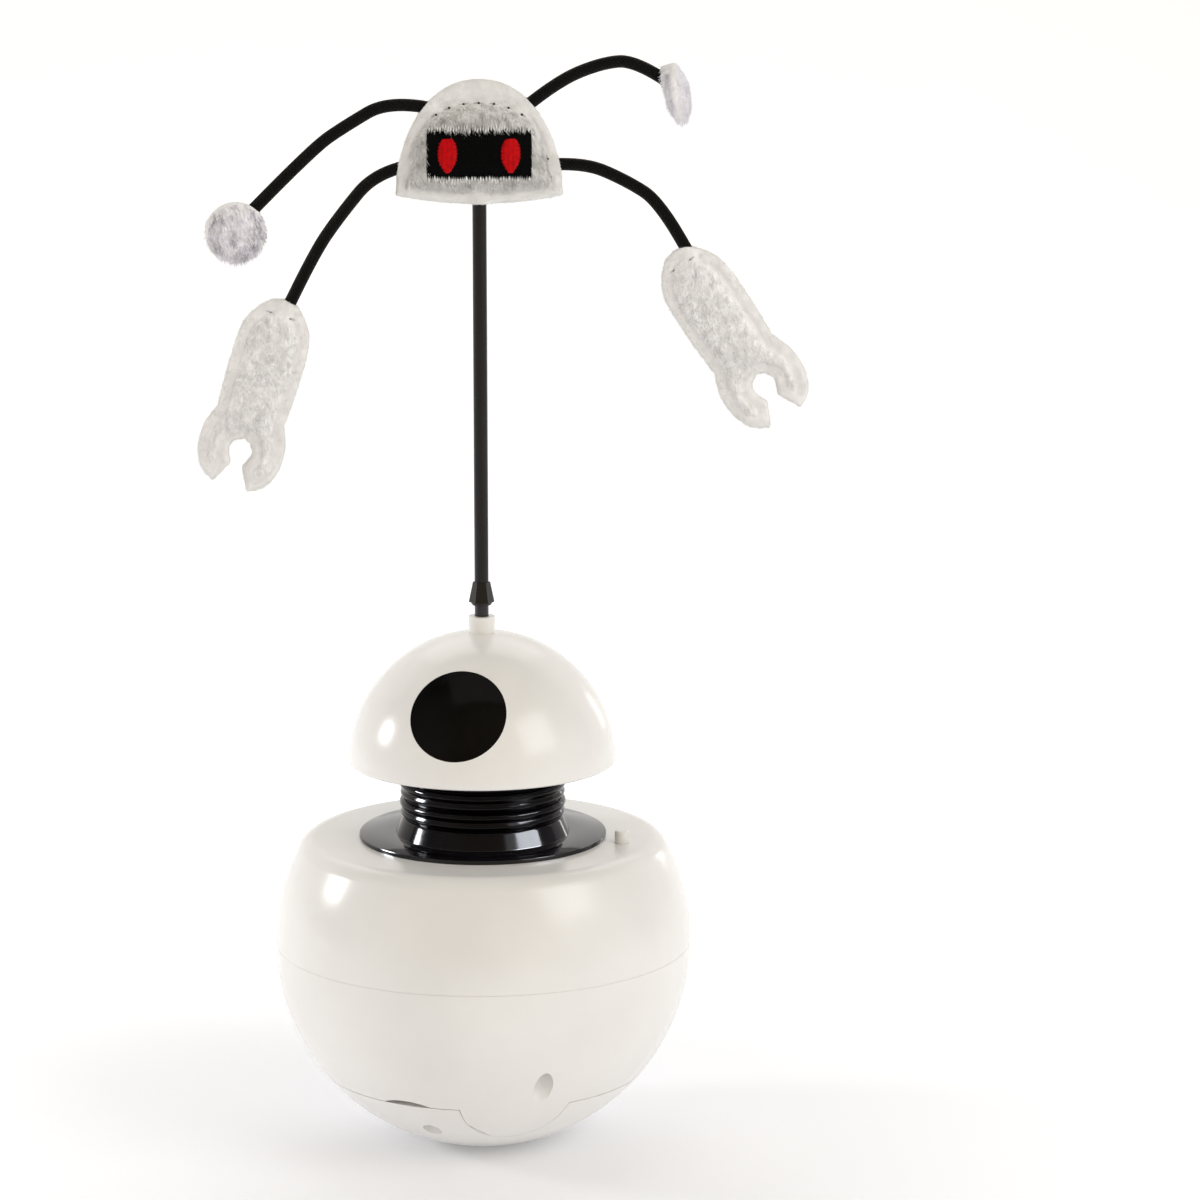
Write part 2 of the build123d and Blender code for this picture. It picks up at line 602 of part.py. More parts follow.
def ear_places():
    """Screw places of the gearbox, just outside the gears and the neck's spigot."""
    pillar_off = MODULE * (WHEEL_TEETH / 2 + 1) + EAR_R
    spigot_off = SPIGOT_R + SNAP + EAR_R + SLACK
    reaches = (spigot_off + 0.8, spigot_off + 1.8, pillar_off, pillar_off)
    hubs = (OUTPUT_AT, OUTPUT_AT, AXLE_2_AT, AXLE_1_AT)
    return [
        (hub[0] + reach * cos(radians(angle)), hub[1] + reach * sin(radians(angle)))
        for hub, reach, angle in zip(hubs, reaches, EAR_ANGLES)
    ]


def output_gear():
    """Last gear, moulded with the shaft that carries the head; the shaft's end has two flats."""
    part = gear(OUTPUT_TEETH, OUTPUT_Z, OUTPUT_Z + OUTPUT_T, OUTPUT_AT, 0.0)
    part += rod(SHAFT_R, PLATE_TOP + 0.3, SHAFT_TOP)
    part += rod(SHAFT_R + 1.2, OUTPUT_Z + OUTPUT_T, COVER_Z - 0.1)
    part += rod(SHAFT_R - 1.0, PLATE_Z + 0.2, PLATE_TOP + 0.4)
    for side in (-1, 1):
        flat = (SHAFT_R, 2 * SHAFT_R + 1, SHAFT_TOP - FLOOR_Z + 1)
        part -= block(flat, FLOOR_Z, (side * (SHAFT_R * 1.3), 0))
    part -= rod(SCREW_R, SHAFT_TOP - HUB_SCREW_IN - 1, SHAFT_TOP + 1)
    return part


def compound_gear(wheel_z, pinion_top, at, pinion_phase, spacer_top):
    """Wheel and pinion in one piece, with spacers to both gearbox plates."""
    part = gear(WHEEL_TEETH, wheel_z, wheel_z + WHEEL_T, at, 0.0)
    part += gear(PINION_TEETH, wheel_z + WHEEL_T, pinion_top, at, pinion_phase)
    part += rod(2.0, PLATE_TOP + 0.15, wheel_z, at)
    if spacer_top > pinion_top:
        part += rod(2.0, pinion_top, spacer_top, at)
    return part - rod(AXLE_R + SHAFT_FIT, 0, TOP_Z, at)


def compound_gear_2():
    return compound_gear(WHEEL_2_Z, OUTPUT_Z + OUTPUT_T, AXLE_2_AT, PINION_2_PHASE, COVER_Z - 0.15)


def compound_gear_1():
    return compound_gear(WHEEL_1_Z, WHEEL_2_Z + WHEEL_T, AXLE_1_AT, PINION_1_PHASE, COVER_Z - 0.15)


def gear_axles():
    return joined(rod(AXLE_R, PLATE_Z + 0.4, COVER_TOP - 0.4, at) for at in (AXLE_1_AT, AXLE_2_AT))


def case_outline():
    """Plan of the gearbox plates: the hull around gears and ears."""
    places = [(OUTPUT_AT, MODULE * OUTPUT_TEETH / 2 + 2.0), (MOTOR_AT, MOTOR_R + 1.0)]
    places += [(at, MODULE * WHEEL_TEETH / 2 + 2.0) for at in (AXLE_1_AT, AXLE_2_AT)]
    places += [(at, EAR_R) for at in ear_places()]
    circles = [Pos(*at) * Circle(radius) for at, radius in places]
    return make_hull([edge for circle in circles for edge in circle.edges()])


def gearbox_frame():
    """Lower plate with pillars at the ears; the motor hangs under it."""
    frame = Pos(0, 0, PLATE_Z) * extrude(case_outline(), amount=GEAR_PLATE)
    for at in ear_places():
        frame += rod(EAR_R - 1.2, PLATE_TOP - 0.5, COVER_Z, at)
        frame -= rod(SCREW_R + SCREW_FIT, 0, TOP_Z, at)
    for at in (AXLE_1_AT, AXLE_2_AT):
        frame -= rod(AXLE_R + 0.01, PLATE_Z + 0.4, PLATE_TOP + 1, at)
    frame -= rod(SHAFT_R - 1.0 + SHAFT_FIT, 0, TOP_Z)
    frame -= rod(PINION_SLEEVE + SLACK, 0, TOP_Z, MOTOR_AT)
    clip = block((2 * MOTOR_R + 2.4, MOTOR_FLATS + 2.4, 5.0), PLATE_Z - 5.0, MOTOR_AT)
    clip -= motor_outline(PLATE_Z - 6.0, PLATE_Z, SEAT)
    return frame + clip


def gearbox_cover():
    cover = Pos(0, 0, COVER_Z) * extrude(case_outline(), amount=GEAR_PLATE)
    for at in ear_places():
        cover -= rod(SCREW_R + SCREW_FIT, 0, TOP_Z, at)
    for at in (AXLE_1_AT, AXLE_2_AT):
        cover -= rod(AXLE_R + 0.01, COVER_Z - 1, COVER_TOP - 0.4, at)
    return cover - rod(SHAFT_R + SHAFT_FIT, 0, TOP_Z)


def case_screws():
    """Small screws of gearbox and battery tray."""
    screws = [screw_up(PLATE_Z, TOP_IN + WALL / 2, at) for at in ear_places()]
    return joined(screws + deck_screws())


# ---- Motor ----
PINION_SLEEVE = 1.6
CAN_TOP = PLATE_Z - SEAT
CAN_LOW = DECK_TOP + MOTOR_CLEAR


def motor_outline(low, high, extra):
    """Round can with two flats."""
    can = rod(MOTOR_R + extra, low, high, MOTOR_AT)
    flats = (2 * MOTOR_R + 3, MOTOR_FLATS + 2 * extra, high - low)
    return can & block(flats, low, MOTOR_AT)


def motor_can():
    can = motor_outline(CAN_LOW, CAN_TOP, 0) - motor_outline(CAN_LOW - 1, CAN_TOP - MOTOR_WALL, -MOTOR_WALL)
    return can - rod(MOTOR_SHAFT_R + 0.3, 0, TOP_Z, MOTOR_AT)


def motor_end_cap():
    cap = motor_outline(CAN_LOW + SEAT, CAN_LOW + CAP_T, -MOTOR_WALL - SEAT)
    cap += motor_outline(CAN_LOW - 0.6, CAN_LOW - SEAT, 0)
    cap += rod(2.4, CAN_LOW - 0.6, CAN_LOW + CAP_T, MOTOR_AT)
    return cap - rod(MOTOR_SHAFT_R + SHAFT_FIT, CAN_LOW, TOP_Z, MOTOR_AT)


def motor_rotor():
    """Armature and commutator on the motor shaft."""
    rotor = rod(MOTOR_SHAFT_R, CAN_LOW + 0.2, WHEEL_1_Z + WHEEL_T + 0.1, MOTOR_AT)
    rotor += rod(MOTOR_FLATS / 2 - MOTOR_WALL - 0.6, CAN_LOW + 6.0, CAN_TOP - 3.0, MOTOR_AT)
    return rotor + rod(2.0, CAN_LOW + CAP_T + 0.6, CAN_LOW + 6.0, MOTOR_AT)


def motor_pinion():
    low = PLATE_TOP + 0.2
    pinion = gear(PINION_TEETH, WHEEL_1_Z - 0.1, WHEEL_1_Z + WHEEL_T + 0.1, MOTOR_AT, MOTOR_PHASE)
    pinion += rod(PINION_SLEEVE, low, WHEEL_1_Z, MOTOR_AT)
    return pinion - rod(MOTOR_SHAFT_R + 0.01, 0, TOP_Z, MOTOR_AT)


# ---- Neck ----
def neck_profile():
    """Half section of the ribbed wall, as points out from the axis; each rib is a round bulge."""
    base = NECK_R - GROOVE
    inner = base - NECK_WALL
    lines = [Line((inner, FLANGE_TOP - 0.5), (FLARE_R, FLANGE_TOP - 0.5))]
    lines.append(Line((FLARE_R, FLANGE_TOP - 0.5), (FLARE_R, FLANGE_TOP)))
    flare_mid = (base + 0.3 * (FLARE_R - base), FLANGE_TOP + FLARE_H * 0.5)
    lines.append(ThreePointArc((FLARE_R, FLANGE_TOP), flare_mid, (base, NECK_FOOT)))
    low = NECK_FOOT
    for rib in range(RIBS):
        high = min(low + RIB_PITCH, NECK_TOP)
        shoulder = 0.55 if high < NECK_TOP else 0.25
        bottom, top = low + 0.55, high - shoulder
        lines.append(Line((base, low), (base, bottom)))
        lines.append(ThreePointArc((base, bottom), (NECK_R, (bottom + top) / 2), (base, top)))
        lines.append(Line((base, top), (base, high)))
        low = high
    lines.append(Line((base, NECK_TOP), (inner, NECK_TOP)))
    lines.append(Line((inner, NECK_TOP), (inner, FLANGE_TOP - 0.5)))
    return make_face([Plane.XZ * line for line in lines])


def neck_collar():
    inner_r = NECK_R - NECK_WALL - GROOVE
    flange = rod(FLANGE_R, TOP_Z, FLANGE_TOP)
    flange = fillet(flange.edges().filter_by(GeomType.CIRCLE).sort_by(Axis.Z)[-1], 0.35)
    collar = revolve(neck_profile(), Axis.Z) + flange
    collar += rod(BUSH_R + 1.7, TOP_Z, BUSH_Z + BUSH_H)
    collar += tube(SPIGOT_R, SPIGOT_R - SPIGOT_WALL, COVER_TOP + 0.4, TOP_Z)
    snap = Pos(0, 0, TOP_IN - 0.9) * Cone(SPIGOT_R - 0.3, SPIGOT_R + SNAP, 0.8)
    collar += snap - rod(SPIGOT_R - SPIGOT_WALL, 0, TOP_Z)
    ledge = tube(inner_r + 0.2, RING_PLATE_R[1] - 1.0, RING_Z - 1.2, RING_Z)
    collar += ledge
    collar -= rod(BUSH_R + 0.01, BUSH_Z - 1, TOP_Z + 20)
    return collar + tube(BUSH_R + 1.0, SHAFT_R + SLACK, TOP_Z - 0.8, TOP_Z)


def neck_bush():
    return tube(BUSH_R, SHAFT_R + SHAFT_FIT, BUSH_Z, BUSH_Z + BUSH_H)


def slip_ring_plate():
    outer = min(RING_PLATE_R[1], NECK_R - NECK_WALL - GROOVE - SEAT)
    return tube(outer, RING_PLATE_R[0], RING_Z, RING_Z + 1.2)


def slip_ring_tracks():
    low = RING_Z + 1.2
    return joined(tube(outer, inner, low, low + TRACK_T) for inner, outer in TRACKS)


def wiper_springs():
    """Bent contact strips that hang from the head's floor and brush the tracks."""
    strips = []
    touch = RING_Z + 1.2 + TRACK_T + SEAT
    for side, (inner, outer) in zip((1, -1), TRACKS):
        reach = (inner + outer) / 2
        top = FLOOR_Z - 0.01
        root, bend, start, end = WIPER
        points = [(-root, top), (bend, top), (start, touch + WIPER_T), (end, touch + WIPER_T), (end, touch)]
        points += [(start - 0.15, touch), (bend - 0.15, top - WIPER_T), (-root, top - WIPER_T)]
        strip = extrude(Plane.XZ * make_face(Polyline(*points, close=True)), amount=0.6, both=True)
        strips.append(Rot(0, 0, 90 + 90 * side) * Pos(0, reach, 0) * strip)
    return joined(strips)


# ---- Head ----
def dome_ball(radius):
    return Pos(0, 0, DOME_Z) * Sphere(radius)


def window_axis():
    """Plane at the dome's centre, its normal through the middle of the window."""
    x, y = polar(cos(radians(WINDOW_EL)), WINDOW_AZ)
    return Plane(origin=(0, 0, DOME_Z), z_dir=(x, y, sin(radians(WINDOW_EL))))


def window_core(radius):
    return window_axis() * Cylinder(radius, 2 * DOME_R, align=(Align.CENTER, Align.CENTER, Align.MIN))


def dome_posts():
    return [polar(DOME_POST_AT, azimuth) for azimuth in DOME_POST_AZ]


def dome_shell():
    dome = (dome_ball(DOME_R) - dome_ball(DOME_R - DOME_WALL)) & slab(RIM_Z, BOSS_TOP)
    rim = dome.edges().filter_by(GeomType.CIRCLE).group_by(Axis.Z)[0].sort_by(SortBy.RADIUS)[-1]
    dome = fillet(rim, 0.8)
    for at in dome_posts():
        dome += rod(POST_R - 0.4, FLOOR_TOP + SEAT, BOSS_TOP, at) & dome_ball(DOME_R - DOME_WALL / 2)
        dome -= rod(SCREW_R + SCREW_FIT, 0, FLOOR_TOP + HEAD_SCREW_IN + 1, at)
    dome += rod(BOSS_R, SOCKET_END - 1.2, BOSS_TOP)
    dome -= rod(PIN_R + PIN_FIT, SOCKET_END, BOSS_TOP + 1)
    return dome - window_core(WINDOW_R)


def dome_floor():
    radius = sqrt((DOME_R - DOME_WALL) ** 2 - (FLOOR_TOP - DOME_Z) ** 2) - LIP_FIT
    floor = rod(radius, FLOOR_Z, FLOOR_TOP) + rod(HUB_R, FLOOR_Z, FLOOR_TOP + HUB_H)
    bore = rod(SHAFT_R + 0.02, FLOOR_Z - 1, SHAFT_TOP + SEAT)
    for side in (-1, 1):
        key = (SHAFT_R, 2 * SHAFT_R + 1, SHAFT_TOP - FLOOR_Z + 5)
        bore -= block(key, FLOOR_Z - 2, (side * (SHAFT_R * 1.3 + 0.02), 0))
    floor -= bore
    floor -= rod(SCREW_R + SCREW_FIT, 0, BOSS_TOP)
    for at in dome_posts():
        floor -= rod(SCREW_HEAD_R + 0.1, FLOOR_Z - 1, FLOOR_Z + 1.0, at)
        floor -= rod(SCREW_R + SCREW_FIT, 0, BOSS_TOP, at)
    return floor


def head_screws():
    screws = [screw_up(FLOOR_Z + 1.0, FLOOR_TOP + HEAD_SCREW_IN, at, head_h=1.0) for at in dome_posts()]
    return joined(screws)


def hub_screw():
    return screw_down(FLOOR_TOP + HUB_H, SHAFT_TOP - HUB_SCREW_IN, (0, 0))


def laser_plane():
    """Plane at the laser's front end, its normal along the beam."""
    exit_r = DOME_R * cos(radians(LASER_EXIT_EL))
    exit_z = DOME_Z + DOME_R * sin(radians(LASER_EXIT_EL))
    front_z = exit_z + (exit_r - LASER_FRONT) * tan(radians(LASER_DIP))
    x, y = polar(LASER_FRONT, WINDOW_AZ)
    dx, dy = polar(cos(radians(LASER_DIP)), WINDOW_AZ)
    return Plane(origin=(x, y, front_z), z_dir=(dx, dy, -sin(radians(LASER_DIP))))


def laser_core(radius, back, front):
    """Cylinder along the beam, between two distances from the laser's front end."""
    return laser_plane() * Pos(0, 0, (back + front) / 2) * Cylinder(radius, front - back)


def laser_barrel():
    return laser_core(LASER_R, -LASER_LENGTH, 0) - laser_core(LENS_R + 0.02, -1.6, 1)


def laser_lens():
    return laser_core(LENS_R, -1.6, -0.4)


def laser_holder():
    """Saddle that carries the laser over the head's floor."""
    x, y = polar(LASER_FRONT - 5.0, WINDOW_AZ)
    top = laser_plane().origin.Z + LASER_R + 3.2
    holder = Pos(x, y, (FLOOR_TOP + top) / 2) * Rot(0, 0, WINDOW_AZ) * Box(*SADDLE, top - FLOOR_TOP)
    return holder - laser_core(LASER_R + 0.03, -LASER_LENGTH - 3, 4)


def laser_window():
    inner = DOME_R - DOME_WALL - SEAT
    pane = (dome_ball(DOME_R - SEAT) - dome_ball(inner - 1.0)) & window_core(WINDOW_R - SEAT)
    return pane + ((dome_ball(inner) - dome_ball(inner - 1.0)) & window_core(WINDOW_R + WINDOW_RIM))


# ---- Wand ----
def wand_plug():
    """Plug-in pin with a six-sided conical ferrule on top."""
    pin = rod(PIN_R, SOCKET_END + 0.2, FERRULE_Z + 0.5)
    cone = loft([
        Pos(0, 0, FERRULE_Z + 0.6) * RegularPolygon(FERRULE_R[0], 6),
        Pos(0, 0, ROD_Z) * RegularPolygon(FERRULE_R[1] + 0.1, 6),
    ])
    foot = Pos(0, 0, FERRULE_Z + 0.3) * Cone(FERRULE_R[0] - 0.7, FERRULE_R[0] - 0.35, 0.6)
    return pin + foot + cone - rod(ROD_R + 0.01, FERRULE_Z + 1.0, ROD_Z + 1)


def wand_rod():
    return rod(ROD_R, FERRULE_Z + 1.0 + SEAT, HEAD_Z + ROD_IN_HEAD)


def head_outline():
    """Front outline of the plush head: a tall arch over a hem that sags in the middle."""
    half = HEAD_WIDTH / 2
    rise = HEAD_HEIGHT
    share = ((1.0, HEAD_SAG / rise), (0.955, 0.33), (0.825, 0.595), (0.615, 0.81), (0.33, 0.955), (0.0, 1.0))
    right = [(half * x, rise * z) for x, z in share]
    left = [(-x, z) for x, z in right]
    hem = ThreePointArc(left[0], (0, 0), right[0])
    return make_face([hem, Spline(*right), Spline(*reversed(left))])


def arm_path(name):
    """Centre line of an arm in the head's plane: straight runs joined by wide arcs."""
    route = ARM_ROUTES[name]
    radii = []
    for a, b, c in zip(route, route[1:], route[2:]):
        first, second = Vector(*b) - Vector(*a), Vector(*c) - Vector(*b)
        turn = radians(first.get_angle(second))
        radii.append(0.45 * min(first.length, second.length) / tan(turn / 2))
    print(name, "arm radii", [round(radius, 1) for radius in radii])
    return FilletPolyline(*route, radius=radii)


def in_head_plane(sketch_or_line):
    """From (x, z) over the head's hem to the model's frame."""
    return Plane(origin=(0, 0, HEAD_Z), x_dir=(1, 0, 0), z_dir=(0, -1, 0)) * sketch_or_line


def swung(name, shape):
    """Turn an arm and its hand about the upright line where it leaves the head."""
    start = ARM_ROUTES[name][0][0]
    return shape.rotate(Axis((start, 0, 0), (0, 0, 1)), ARM_SWING[name])


def arm_tube(name, radius):
    path = in_head_plane(arm_path(name))
    section = Plane(path @ 0, z_dir=path % 0) * Circle(radius)
    return swung(name, sweep(section, path=path))


def flat_plush(face, thickness):
    """Plush pad with the outline of a face, centred on the head's plane."""
    return extrude(in_head_plane(face), amount=thickness / 2, both=True)


def plush_head():
    head = flat_plush(head_outline(), HEAD_T)
    head -= rod(ROD_R + HAND_GRIP, 0, HEAD_Z + ROD_IN_HEAD + HAND_GRIP)
    for name in ARM_ROUTES:
        head -= arm_tube(name, ARM_R + HAND_GRIP)
    return head


def head_visor():
    width, height, thick = VISOR
    return Pos(0, -(HEAD_T + thick) / 2, HEAD_Z + VISOR_LIFT + height / 2) * Box(width, thick, height)


def visor_eyes():
    width, height, thick = EYE
    middle = HEAD_Z + VISOR_LIFT + VISOR[1] / 2
    front = -HEAD_T / 2 - VISOR[2]
    eyes = []
    for side in (-1, 1):
        place = Plane(origin=(side * EYE_SPACING / 2, front, middle), x_dir=(1, 0, 0), z_dir=(0, -1, 0))
        eyes.append(extrude(place * Ellipse(width / 2, height / 2), amount=thick))
    return joined(eyes)


def hand_pad(name):
    """Round plush pad at the end of an upper arm."""
    x, z = PAD_PLACES[name]
    yaw, tilt = PAD_TURN[name]
    pad = Pos(x, 0, HEAD_Z + z) * Rot(0, tilt, 0) * Rot(0, 0, yaw) * Rot(90, 0, 0) * Cylinder(PAD_R, PAD_T)
    return swung(name, pad) - arm_tube(name, ARM_R + HAND_GRIP)


def claw_outline():
    """Pincer from wrist to tips, along +X: a palm, two jaws and a round bite between them."""
    palm = ((0, 0), (0.03, 0.44), (0.155, 0.91), (0.37, 1.0), (0.62, 0.95))
    side = [(CLAW_LENGTH * along, PALM_HALF * out) for along, out in palm]
    knuckle = ((0.728, 1.0), (0.851, 1.0), (0.953, 0.775))
    jaw = [side[-1]] + [(CLAW_LENGTH * along, JAW_HALF * out) for along, out in knuckle]
    jaw.append((CLAW_LENGTH, TIP_HALF))
    bite_middle = (BITE_START + BITE_END) / 2
    lines = []
    for sign in (1, -1):
        lines.append(Spline(*[(x, sign * y) for x, y in side]))
        lines.append(Spline(*[(x, sign * y) for x, y in jaw]))
        mouth = (BITE_END, sign * LIP_HALF)
        lines.append(Line((CLAW_LENGTH, sign * TIP_HALF), mouth))
        lines.append(ThreePointArc(mouth, (bite_middle, sign * BITE_HALF), (BITE_START, 0)))
    return make_face(lines)


def plush_claw(name):
    """Plush pincer at the end of a lower arm."""
    x, z = CLAW_PLACES[name]
    face = Pos(x, z) * Rot(0, 0, CLAW_ANGLE[name]) * claw_outline()
    return swung(name, flat_plush(face, CLAW_T)) - arm_tube(name, ARM_R + HAND_GRIP)


# ---- The parts, each in its own file ----
PARTS = {
    "upper_shell": upper_shell,
    "lower_shell": lower_shell,
    "battery_door": battery_door,
    "door_screw": door_screw,
    "ballast_weight": ballast_weight,
    "shell_screws": shell_screws,
    "battery_tray": battery_tray,
    "battery_cell_1": lambda: battery_cell(-1),
    "battery_cell_2": lambda: battery_cell(0),
    "battery_cell_3": lambda: battery_cell(1),
    "battery_contacts": battery_contacts,
    "battery_springs": battery_springs,
    "main_board": main_board,
    "controller_chip": controller_chip,
    "smoothing_capacitor": smoothing_capacitor,
    "wire_connector": wire_connector,
    "switch_board": switch_board,
    "tact_switch": tact_switch,
    "push_button": push_button,
    "board_screws": board_screws,
    "gearbox_frame": gearbox_frame,
    "gearbox_cover": gearbox_cover,
    "case_screws": case_screws,
    "gear_axles": gear_axles,
    "compound_gear_1": compound_gear_1,
    "compound_gear_2": compound_gear_2,
    "output_gear": output_gear,
    "motor_can": motor_can,
    "motor_end_cap": motor_end_cap,
    "motor_rotor": motor_rotor,
    "motor_pinion": motor_pinion,
    "neck_collar": neck_collar,
    "neck_bush": neck_bush,
    "slip_ring_plate": slip_ring_plate,
    "slip_ring_tracks": slip_ring_tracks,
    "wiper_springs": wiper_springs,
    "dome_shell": dome_shell,
    "dome_floor": dome_floor,
    "head_screws": head_screws,
    "hub_screw": hub_screw,
    "laser_window": laser_window,
    "laser_barrel": laser_barrel,
    "laser_lens": laser_lens,
    "laser_holder": laser_holder,
    "wand_plug": wand_plug,
    "wand_rod": wand_rod,
    "plush_head": plush_head,
    "head_visor": head_visor,
    "visor_eyes": visor_eyes,
    "arm_upper_left": lambda: arm_tube("upper_left", ARM_R),
    "arm_lower_left": lambda: arm_tube("lower_left", ARM_R),
    "arm_upper_right": lambda: arm_tube("upper_right", ARM_R),
    "arm_lower_right": lambda: arm_tube("lower_right", ARM_R),
    "pad_left": lambda: hand_pad("upper_left"),
    "pad_right": lambda: hand_pad("upper_right"),
    "claw_left": lambda: plush_claw("lower_left"),
    "claw_right": lambda: plush_claw("lower_right"),
}

os.makedirs("parts", exist_ok=True)
for node, make in PARTS.items():
    shape = make()
    export_step(shape, f"parts/{node}.step")
    print(node, "solids", len(shape.solids()), "volume", round(shape.volume, 1))
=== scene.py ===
# Automatic cat laser toy, dressed: glossy roly-poly casing, ribbed neck, plush robot on a plug-in wand.
import json
from math import cos, pi, radians, sin, sqrt

import bmesh
import bpy
import numpy as np
from mathutils import Matrix, Vector
from mathutils.bvhtree import BVHTree
from mathutils.geometry import delaunay_2d_cdt

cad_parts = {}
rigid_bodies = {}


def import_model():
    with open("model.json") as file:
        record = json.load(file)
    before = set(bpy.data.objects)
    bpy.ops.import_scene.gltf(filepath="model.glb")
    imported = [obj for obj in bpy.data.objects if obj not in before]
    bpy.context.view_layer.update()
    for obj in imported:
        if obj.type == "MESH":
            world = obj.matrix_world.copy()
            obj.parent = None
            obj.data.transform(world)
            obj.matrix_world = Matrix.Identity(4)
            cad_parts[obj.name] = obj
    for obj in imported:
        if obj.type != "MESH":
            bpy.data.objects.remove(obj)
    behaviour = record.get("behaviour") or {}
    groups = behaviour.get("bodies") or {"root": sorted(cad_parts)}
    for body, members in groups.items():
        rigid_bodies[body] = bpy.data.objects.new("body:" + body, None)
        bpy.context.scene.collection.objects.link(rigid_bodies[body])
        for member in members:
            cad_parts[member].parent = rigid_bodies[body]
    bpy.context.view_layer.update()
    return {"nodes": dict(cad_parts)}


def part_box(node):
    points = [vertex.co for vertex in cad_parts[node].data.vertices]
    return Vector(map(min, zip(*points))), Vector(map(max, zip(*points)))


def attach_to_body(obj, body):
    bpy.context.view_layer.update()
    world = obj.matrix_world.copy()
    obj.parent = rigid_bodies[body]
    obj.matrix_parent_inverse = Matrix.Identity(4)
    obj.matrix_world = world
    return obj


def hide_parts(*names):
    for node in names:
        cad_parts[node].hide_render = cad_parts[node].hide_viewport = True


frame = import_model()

bl_info = {
    "name": "Cat laser toy",
    "version": (1, 0, 0),
    "blender": (4, 5, 0),
    "location": "3D View > Sidebar > Laser toy",
    "description": "Dresses the laser toy's packed frame with finishes, plush, embroidery and sleeves",
    "category": "Object",
}

MM = 0.001
HEM_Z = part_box("plush_head")[0].z / MM          # lowest point of the plush head's hem


# ---- Settings a user would change ----
def length(name, text, value, low=0.0, high=1.0):
    """A length in metres with its label."""
    return bpy.props.FloatProperty(
        name=name, description=text, default=value * MM, min=low * MM, soft_max=high, unit="LENGTH", precision=5
    )


def tint(name, text, code):
    """A colour with its label, from an sRGB hex value."""
    return bpy.props.FloatVectorProperty(
        name=name, description=text, default=linear(code)[:3], min=0.0, max=1.0, size=3, subtype="COLOR"
    )


def power(name, text, value):
    """A light's power with its label."""
    return bpy.props.FloatProperty(name=name, description=text, default=value, min=0.0, unit="POWER")


def level(name, text, value):
    """A brightness with its label."""
    return bpy.props.FloatProperty(name=name, description=text, default=value, min=0.0)


def linear(code):
    """sRGB hex value to linear RGBA."""
    parts = [int(code[i:i + 2], 16) / 255 for i in (1, 3, 5)]
    return tuple(p / 12.92 if p <= 0.04045 else ((p + 0.055) / 1.055) ** 2.4 for p in parts) + (1.0,)


class CasingSettings(bpy.types.PropertyGroup):
    white: tint("Casing white", "Moulded colour of the body, the button and the dome", "#F1F0EE")
    black: tint("Neck black", "Moulded colour of the ribbed neck", "#030203")
    orange_peel: length("Orange peel", "Width of the faint waves in the moulded gloss", 2.4)


class PlushSettings(bpy.types.PropertyGroup):
    felt: tint("Felt", "Colour of the shorn margin outside the seam", "#E6E5E3")
    pile: tint("Pile", "Lightest colour of the pile", "#F0EFED")
    shade: tint("Pile shade", "Colour of the pile's parted, darker strands", "#BAB8B6")
    head_width: length("Head width", "Width of the plush head at its hem", 35.4)
    head_height: length("Head height", "Height of the plush head over its hem", 26.2)
    hem_sag: length("Hem sag", "How far the hem's middle hangs under its corners", 1.8)
    head_thickness: length("Head thickness", "Thickness of the stuffed head", 9.0)
    head_seam: length("Head seam", "Distance of the head's seam from its sides", 2.3)
    crest_seam: length("Crest seam", "How much further the seam lies under the head's top", 2.7)
    claw_thickness: length("Claw thickness", "Thickness of a stuffed claw", 4.8)
    claw_seam: length("Claw seam", "Distance of a claw's seam from its edge", 2.5)
    pad_radius: length("Hand radius", "Radius of a round hand", 6.5)
    pad_thickness: length("Hand thickness", "Thickness of a round hand", 4.5)
    pile_length: length("Pile length", "Length of the pile's tufts", 1.5)
    stitch_pitch: length("Stitch pitch", "Distance from one stitch to the next", 2.9)


class EmbroiderySettings(bpy.types.PropertyGroup):
    visor: tint("Visor thread", "Colour of the visor's thread", "#030303")
    eye: tint("Eye thread", "Colour of the eyes' thread", "#BC0009")
    visor_width: length("Visor width", "Width of the stitched visor", 21.6)
    visor_height: length("Visor height", "Height of the stitched visor", 10.0)
    visor_lift: length("Visor lift", "Height of the visor's lower edge over the hem", 5.7)
    eye_width: length("Eye width", "Width of a stitched eye", 4.3)
    eye_height: length("Eye height", "Height of a stitched eye", 7.1)
    eye_spacing: length("Eye spacing", "Distance between the eyes' middles", 13.2)
    thread: length("Thread", "Spacing of the satin stitches", 0.37)


class ArmSettings(bpy.types.PropertyGroup):
    sleeve: tint("Sleeve", "Colour of the woven sleeves", "#080706")
    radius: length("Arm radius", "Radius of a sleeved arm", 1.32)
    strand: length("Strand", "Length of one crossing of the weave along the arm", 0.9)


class StageSettings(bpy.types.PropertyGroup):
    floor: tint("Floor", "Colour of floor and backdrop", "#F6F7FB")
    key: power("Key light", "Power of the small soft box on the left", 2.1)
    fill: power("Fill light", "Power of the large soft box on the right", 1.8)
    top: power("Top light", "Power of the soft box overhead", 1.4)
    rear: power("Rear light", "Power of the soft box over the backdrop", 1.4)
    kicker: power("Kicker", "Power of the strip light behind on the right", 0.2)
    front: power("Front light", "Power of the front light on the plush", 1.85)
    neck_key: power("Neck key", "Power of the small catch light on the neck", 14.0)
    neck_fill: power("Neck fill", "Power of the large catch light on the neck", 26.0)
    paws: power("Paw light", "Power of the soft light on the hands and claws", 1.4)
    front_wall: level("Front wall", "Brightness of the studio behind the camera", 0.5)
    left_wall: level("Left wall", "Brightness of the studio's left side", 0.28)
    right_wall: level("Right wall", "Brightness of the studio's right side", 0.43)


